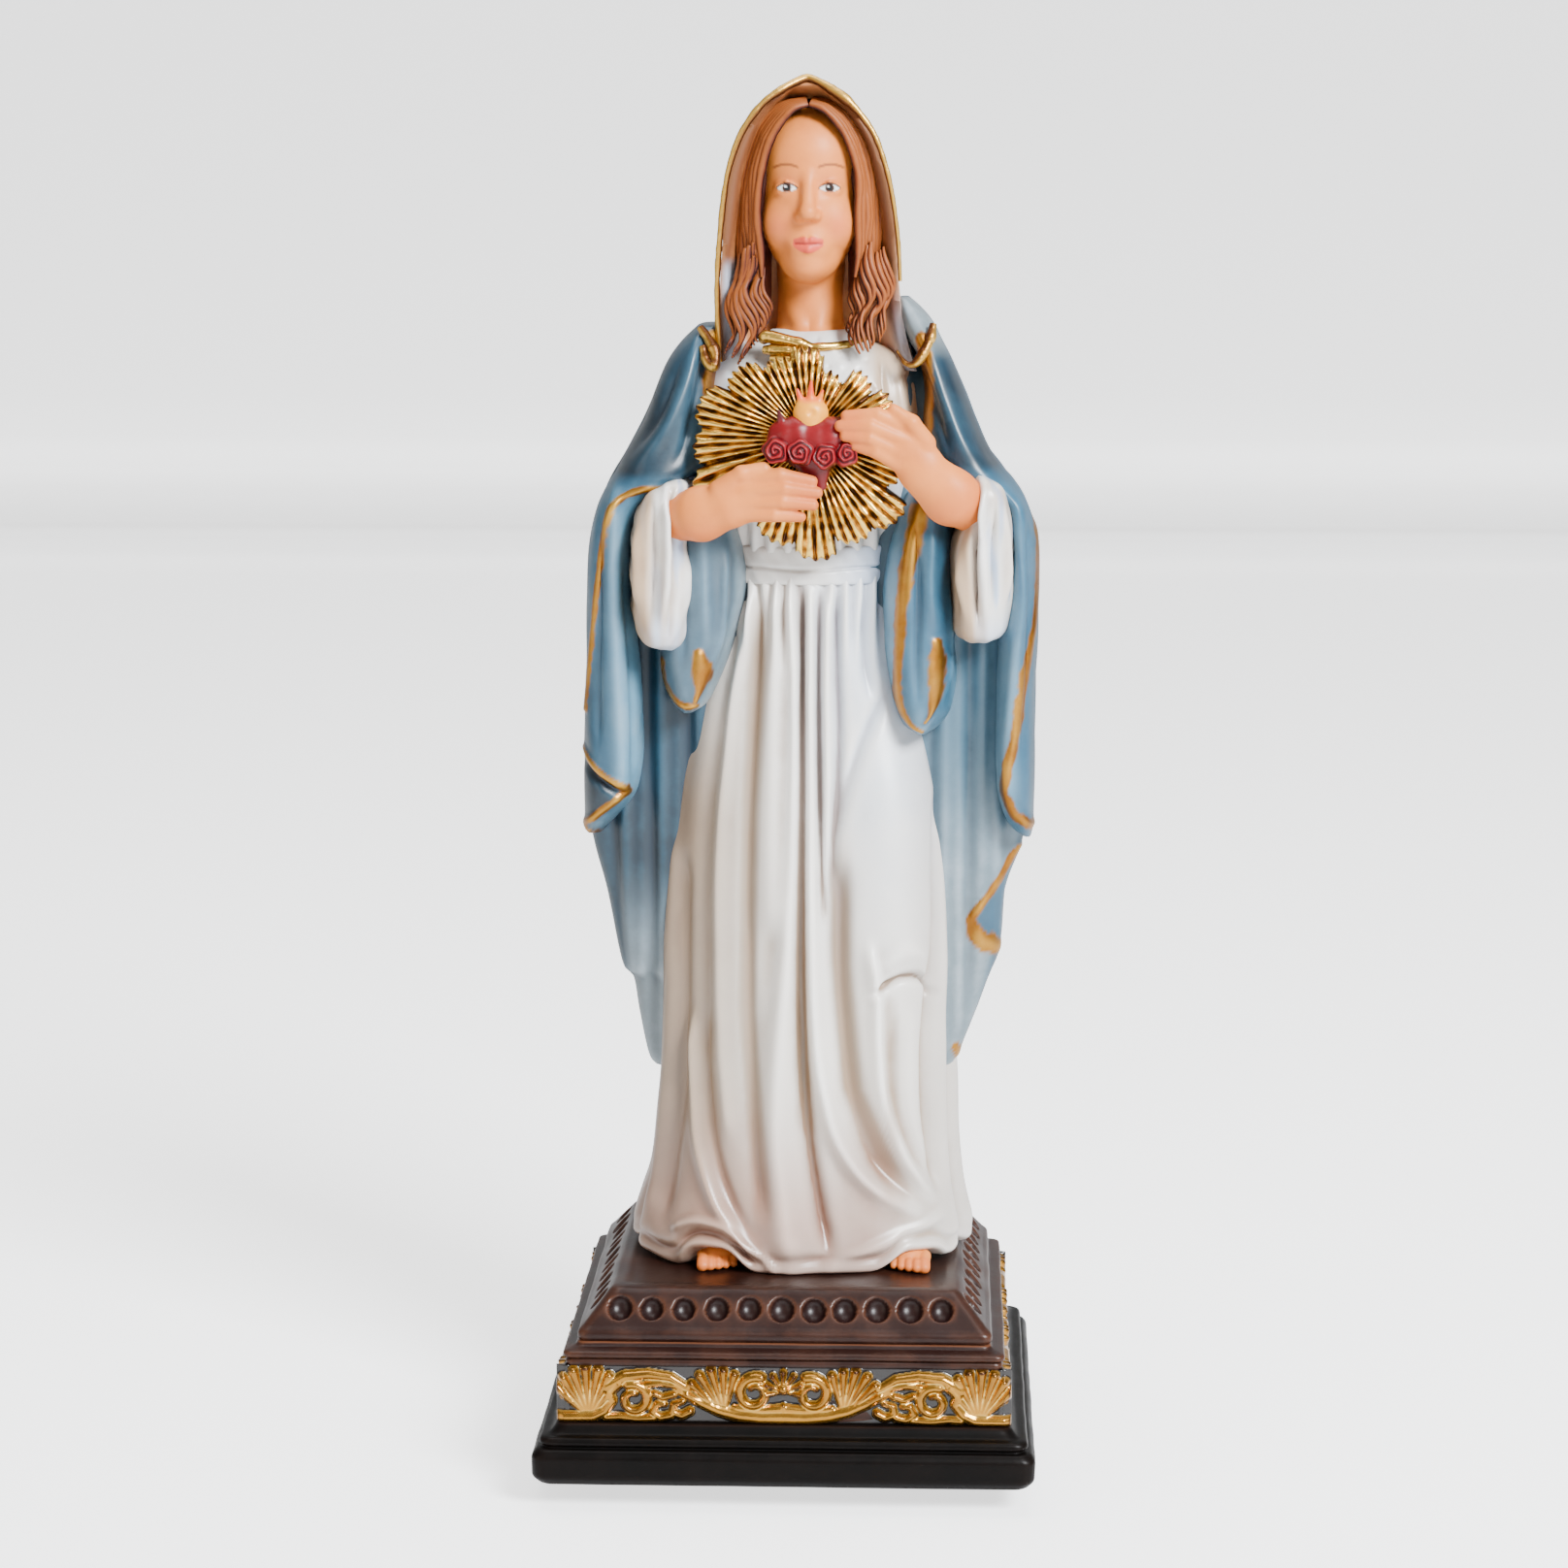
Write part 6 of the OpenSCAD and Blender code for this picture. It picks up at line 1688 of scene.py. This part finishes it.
def lock(points, thick, sway, phase):
    """A wavy lock through a few points: three thin strands that sway together and taper."""
    dense = glide(points, 34)
    out = []
    for strand in (-1, 0, 1):
        line = []
        for i, q in enumerate(dense):
            t = i / 33
            wave = 10.5 * t + phase + 0.35 * strand
            line.append((q[0] + sway * math.sin(wave) * min(1, 3 * t) + 0.55 * thick * strand * (1 - 0.5 * t),
                         q[1] - 0.3 * math.cos(wave) + 0.12 * abs(strand), q[2] + 0.3 * strand,
                         0.56 * thick * (1 - 0.7 * t**1.6) * min(1, 0.5 + 3 * t)))
        out.append(line)
    return out


right_locks = [
    lock([(-4.0, -5.3, 121.5), (-4.8, -5.6, 117.5), (-4.9, -6.2, 113.8), (-5.2, -7.0, 110.8)],
    0.72, 0.45, 0.0),
    lock([(-3.6, -5.4, 120.5), (-4.2, -5.9, 117.0), (-3.9, -6.6, 113.4), (-4.3, -7.6, 110.2)],
    0.70, 0.55, 0.8),
    lock([(-3.1, -5.0, 119.5), (-3.3, -5.5, 116.4), (-2.9, -6.2, 113.6), (-3.2, -7.0, 111.8)],
    0.62, 0.5, 1.6),
    lock([(-4.6, -4.6, 121.0), (-5.5, -5.0, 117.0), (-5.7, -5.6, 113.6), (-5.9, -6.4, 111.2)],
    0.60, 0.4, 0.4),
    lock([(-2.9, -4.6, 119.0), (-2.6, -5.0, 116.2), (-2.3, -5.4, 114.2), (-2.5, -6.0, 112.8)], 0.5, 0.4, 2.4),
]
left_locks = [
    lock([(7.6, -5.3, 121.5), (7.9, -5.6, 118.0), (7.4, -6.2, 114.6), (6.9, -7.0, 111.2)], 0.72, 0.5, 3.1),
    lock([(8.2, -5.2, 120.5), (8.8, -5.6, 117.0), (8.3, -6.2, 114.2), (7.5, -6.8, 111.4)], 0.68, 0.5, 3.7),
    lock([(7.0, -4.8, 119.8), (7.0, -5.2, 116.8), (6.6, -5.8, 114.2), (6.4, -6.4, 112.0)], 0.6, 0.42, 2.6),
    lock([(8.9, -4.6, 121.0), (9.6, -5.0, 117.4), (9.4, -5.6, 114.6), (8.6, -6.2, 112.4)], 0.55, 0.4, 4.2),
    lock([(6.6, -4.2, 119.0), (6.4, -4.6, 116.4), (6.1, -5.0, 114.6), (6.1, -5.6, 113.2)], 0.46, 0.35, 2.0),
]
keep(rolls("lock_right_cast", sum(right_locks, []), HAIR, (HEAD_X, 1, 115), count=70, uneven=0.12, seed=5.0),
    "hair_brown", "right_lock")
keep(rolls("lock_left_cast", sum(left_locks, []), HAIR, (HEAD_X, 1, 115), count=70, uneven=0.12, seed=6.0),
    "hair_brown", "left_lock")

# %% [markdown]
# ## Veil and collar
# The veil frames the hair and falls to the shoulders. Its sections are horseshoes: round at
# the back and hollow in front, where the head sits. The rim is brushed with gold.

# %% Veil
VEIL_ROWS = [
    (109.0, -7.0, 12.9, -4.4, 8.6), (112, -7.2, 12.0, -4.8, 8.8), (115, -7.35, 11.4, -5.0, 8.9),
    (118, -7.35, 11.05, -5.2, 9.0),
    (121, -7.15, 10.9, -5.4, 9.2), (124, -6.95, 10.65, -5.6, 9.3), (127, -6.5, 10.1, -5.9, 9.3),
    (129.5, -6.0, 9.5, -6.1, 9.0),
    (132, -5.1, 8.6, -6.2, 8.2), (134, -3.9, 7.3, -6.2, 6.9), (135.6, -2.5, 5.8, -6.0, 5.2),
    (136.7, -0.9, 4.2, -5.6, 3.4),
    (137.4, 0.4, 3.0, -5.0, 1.6), (137.8, 1.2, 2.2, -4.0, -0.4),
]


def make_veil():
    rows, outer, inner = 170, 190, 110
    t = np.linspace(0, 1, rows)[:, None]
    z = 109.0 + (137.8 - 109.0) * (1 - (1 - t) ** 1.25)
    xl, xr, yf, yb = at_height(VEIL_ROWS, z)
    cx, half = (xl + xr) / 2, (xr - xl) / 2
    turn = np.linspace(math.pi, 0, outer)[None, :]
    round_x = cx + half * np.sign(np.cos(turn)) * np.abs(np.cos(turn)) ** 0.85
    round_y = yf + (yb - yf) * np.sin(turn) ** 0.72
    u = np.linspace(1, -1, inner + 2)[None, 1:-1]
    deep = np.minimum(6.2, 0.72 * (yb - yf)) * ease(137.4, 134.6, z)
    hollow_x = cx + (half - np.minimum(1.35, 0.35 * half)) * u
    hollow_y = yf + 0.25 + deep * (1 - np.abs(u) ** 7)
    grid = np.stack([np.hstack([round_x, hollow_x]), np.hstack([round_y, hollow_y]),
                     np.hstack([z + 0 * round_x, z + 0 * hollow_x])], -1)
    grid = np.stack([soften(grid[..., k], 2, True) for k in range(3)], -1)
    along = np.hstack([turn + 0 * z, np.full((rows, inner), -1.0)])
    back = np.where(along >= 0, np.sin(np.clip(along, 0, math.pi)), 0)
    lift = (back * (0.42 * np.sin(13 * along + 0.03 * grid[..., 2]) + 0.25 * np.sin(21 * along + 2))
        * ease(135, 124, grid[..., 2]))
    lift += back * 0.16 * np.sin(0.7 * grid[..., 2] + 3 * np.cos(along)) * ease(137, 130, grid[..., 2])
    rim = (along >= 0) * (1 - ease(0.10, 0.30, back))
    lift += 0.35 * rim + 0.10 * ripple(grid, 5.0, 121)
    grid += grid_normals(grid, True) * lift[..., None]
    x, z = grid[..., 0], grid[..., 2]
    tan = np.where(along >= 0, 0.75 * (1 - ease(0.0, 0.8, back)), 0.9)
    base = blend_rows(np.array(colour(228, 212, 188)), np.array(colour(196, 128, 62)), np.clip(tan, 0, 1))
    glaze_and_shade = blend_rows(np.array(colour(178, 148, 112)), np.array(colour(124, 72, 38)), np.clip(tan, 0, 1))
    light = blend_rows(np.array(colour(246, 238, 222)), np.array(colour(226, 180, 112)), np.clip(tan, 0, 1))
    pale = (ease(120.5, 118.5, z) * ease(-4.4, -5.2, x) * (along < 0)
        + 0.75 * ease(118, 112, z) * ease(9.4, 11.4, x))
    rosy = ease(121, 114, z) * ease(7, 9, x) * ease(11.6, 10.4, x) * 0.6
    base = blend_rows(blend_rows(base, np.array(colour(234, 206, 192)), rosy),
        np.array(colour(240, 240, 242)), np.clip(pale, 0, 1))
    light = blend_rows(light, np.array(colour(250, 250, 252)), np.clip(pale, 0, 1))
    glaze_and_shade = blend_rows(glaze_and_shade, np.array(colour(184, 186, 196)), np.clip(pale, 0, 1))
    return skin("veil_cast", grid, VEIL, three_tints(base, glaze_and_shade, light), steps=6)


VEIL = resin_paint("veil", colour(200, 162, 112), colour(150, 110, 70), colour(232, 206, 160),
                   rough=0.5, coat=0.04, spread=0.3, mottle=0.18, scale=350, tint="tint", shine=0.25)
keep(make_veil(), "veil_cream", "veil")
def veil_edge(side, heights, thick):
    """Points on the front edge of the veil, on one side of the face."""
    xl, xr, yf, _ = at_height(VEIL_ROWS, np.array(heights, float))
    edge = xl + 0.15 if side < 0 else xr - 0.15
    return [tuple(point) for point in np.c_[edge, yf - 0.1, heights, thick]]


rim_lines = [
    veil_edge(-1, (110, 114, 118, 122, 126, 129, 132, 134, 135.6, 136.7, 137.4),
    (0.26, 0.3, 0.3, 0.3, 0.3, 0.3, 0.32, 0.34, 0.36, 0.38, 0.4))
    + [(1.7, -4.6, 137.8, 0.4)]
    + veil_edge(1, (137.4, 136.7, 135.6, 134, 132, 129, 126, 122, 118),
    (0.4, 0.44, 0.48, 0.36, 0.3, 0.28, 0.26, 0.24, 0.2)),
    [(-8.9, -5.4, 113.4, 0.36), (-8.0, -6.1, 112.2, 0.56), (-7.3, -6.9, 110.9, 0.6),
    (-7.5, -7.3, 109.7, 0.52), (-8.2, -7.1, 110.2, 0.5), (-8.6, -6.5, 111.6, 0.44)],
    [(14.2, -5.6, 113.8, 0.4), (13.9, -6.2, 112.4, 0.55), (13.2, -6.8, 110.9, 0.55), (12.3, -7.1, 109.9, 0.4),
    (11.4, -7.0, 110.1, 0.26), (10.6, -6.6, 111.2, 0.16)],
]
keep(rolls("veil_gold_rim", rim_lines, OLD_GOLD, (HEAD_X, 4, 122), count=150, sides=10,
    uneven=0.22, seed=8.0), "gold_paint")

# %% Collar
ring = [(2.0 + 5.2 * math.cos(a), -0.6 + 4.7 * math.sin(a) - 0.3, 112.0 - 0.5 * math.sin(-a), 0.44)
    for a in np.linspace(0, 2 * math.pi, 40)]
scroll = [
    [(-2.6, -6.5, 112.2, 0.5), (-2.3, -7.0, 112.6, 0.7), (-1.0, -7.3, 112.4, 0.66), (0.8, -7.3, 112.0, 0.62),
    (2.2, -7.1, 111.5, 0.5)],
    [(-2.5, -6.8, 111.3, 0.45), (-1.4, -7.3, 111.3, 0.58), (0.2, -7.5, 111.2, 0.52),
    (1.6, -7.4, 110.9, 0.45)],
    [(-1.8, -7.0, 110.5, 0.34), (-0.6, -7.5, 110.4, 0.5), (0.4, -7.8, 110.2, 0.45)],
    [(0.4, -7.5, 111.4, 0.55), (0.7, -8.1, 110.2, 0.62), (0.6, -8.8, 109.0, 0.58), (0.9, -9.4, 107.8, 0.4)],
    [(1.8, -7.3, 111.4, 0.45), (2.0, -8.0, 110.2, 0.46), (1.9, -8.8, 109.0, 0.4)],
]
keep(rolls("collar_cast", [ring] + scroll, GOLD, (HEAD_X, 1, 111),
    count=110, sides=14, uneven=0.14, seed=9.0),
     "gold_paint", "collar_band")

# %% [markdown]
# ## Roses
# Four small roses lie across the heart. One rose is a button whose petals wind out from the
# middle as a spiral of rims. The nodes setup sets it on four spots, each turned and sized a
# little differently.

# %% One rose, set four times
def rose_mesh():
    rows, cols = 30, 72
    r = np.linspace(0.02, 1, rows)[:, None]
    a = np.linspace(0, 2 * math.pi, cols, endpoint=False)[None, :]
    wind = 2.5 * r + a / (2 * math.pi) + 0.10 * np.sin(3 * a + 4 * r)
    rim = 1 - np.abs(2 * (wind % 1) - 1)
    out = 1.0 + 0.07 * np.sin(5 * a + 1) * r
    x = 1.22 * r * out * np.cos(a)
    z = 1.22 * r * out * np.sin(a)
    high = 0.95 * np.sqrt(np.clip(1 - (0.88 * r) ** 2, 0, 1)) + 0.42 * rim**0.8 * (0.5 + 0.5 * r) - 0.5 * r**8
    front = np.stack([x, -high + 0 * x, z + 0 * x], -1)
    n, last = rows * cols, (rows - 1) * cols
    back = front[-1] * [1, 0, 1] + [0, 0.6, 0]
    points = np.vstack([front.reshape(-1, 3), back, front[0].mean(0)])
    j = np.arange(cols)
    k = (j + 1) % cols
    faces = [np.vstack([grid_faces(rows, cols, True), np.stack([last + j, last + k, n + k, n + j], 1)]),
             np.c_[np.full(cols, n + cols), k, j], (n + j[::-1])[None, :]]
    ridge = np.r_[(0.5 * (rim - 0.42) + 0 * x).ravel(), np.zeros(cols + 1)]
    return cast_mesh("rose_pattern", points, faces, ROSE, {"ridge": ridge})


def setter(pattern):
    """Nodes that set a pattern piece on every point, turned and sized by a seed."""
    group = bpy.data.node_groups.new("Set on spots", "GeometryNodeTree")
    group.interface.new_socket("Geometry", in_out="INPUT", socket_type="NodeSocketGeometry")
    for name, kind, value in (("Smallest", "NodeSocketFloat", 0.9), ("Largest", "NodeSocketFloat", 1.05),
                              ("Seed", "NodeSocketInt", 1), ("Paint", "NodeSocketMaterial", None)):
        socket = group.interface.new_socket(name, in_out="INPUT", socket_type=kind)
        if value is not None:
            socket.default_value = value
    group.interface.new_socket("Geometry", in_out="OUTPUT", socket_type="NodeSocketGeometry")
    new, join = group.nodes.new, group.links.new
    inside, outside = new("NodeGroupInput"), new("NodeGroupOutput")
    source = new("GeometryNodeObjectInfo")
    source.inputs["Object"].default_value = pattern
    set_on = new("GeometryNodeInstanceOnPoints")
    turn = new("FunctionNodeRandomValue")
    turn.data_type = "FLOAT_VECTOR"
    turn.inputs[0].default_value = (-0.15, 0.0, -0.15)
    turn.inputs[1].default_value = (0.15, 6.2, 0.15)
    size = new("FunctionNodeRandomValue")
    size.data_type = "FLOAT"
    real = new("GeometryNodeRealizeInstances")
    painted = new("GeometryNodeSetMaterial")
    floats = [s for s in size.inputs if s.enabled and s.name in ("Min", "Max")]
    join(inside.outputs["Smallest"], floats[0])
    join(inside.outputs["Largest"], floats[1])
    for node in (turn, size):
        join(inside.outputs["Seed"], [s for s in node.inputs if s.name == "Seed"][0])
    join(inside.outputs["Geometry"], set_on.inputs["Points"])
    join(source.outputs["Geometry"], set_on.inputs["Instance"])
    join([s for s in turn.outputs if s.enabled][0], set_on.inputs["Rotation"])
    join([s for s in size.outputs if s.enabled][0], set_on.inputs["Scale"])
    join(set_on.outputs["Instances"], real.inputs["Geometry"])
    join(real.outputs["Geometry"], painted.inputs["Geometry"])
    join(inside.outputs["Paint"], painted.inputs["Material"])
    join(painted.outputs["Geometry"], outside.inputs["Geometry"])
    return group


ROSE = resin_paint("deep red roses", colour(126, 18, 30), colour(44, 4, 10), colour(168, 44, 56),
                   rough=0.4, coat=0.1, spread=0.24, mottle=0.15, scale=600, shine=0.3)
pattern = rose_mesh()
spots = bpy.data.meshes.new("rose_spots")
spots.from_pydata([(x * MM, y * MM, z * MM) for x, y, z in
                   ((-1.0, -13.4, 101.9), (1.35, -13.9, 101.7), (3.75, -13.9, 101.3), (5.75, -13.3, 101.5))],
                   [], [])
roses = through_nodes("roses_cast", spots, setter(pattern), ROSE, Smallest=1.02, Largest=1.16, Seed=7)
bpy.data.objects.remove(pattern)
for polygon in roses.data.polygons:
    polygon.use_smooth = True
keep(roses, "heart_red", "rose_garland")
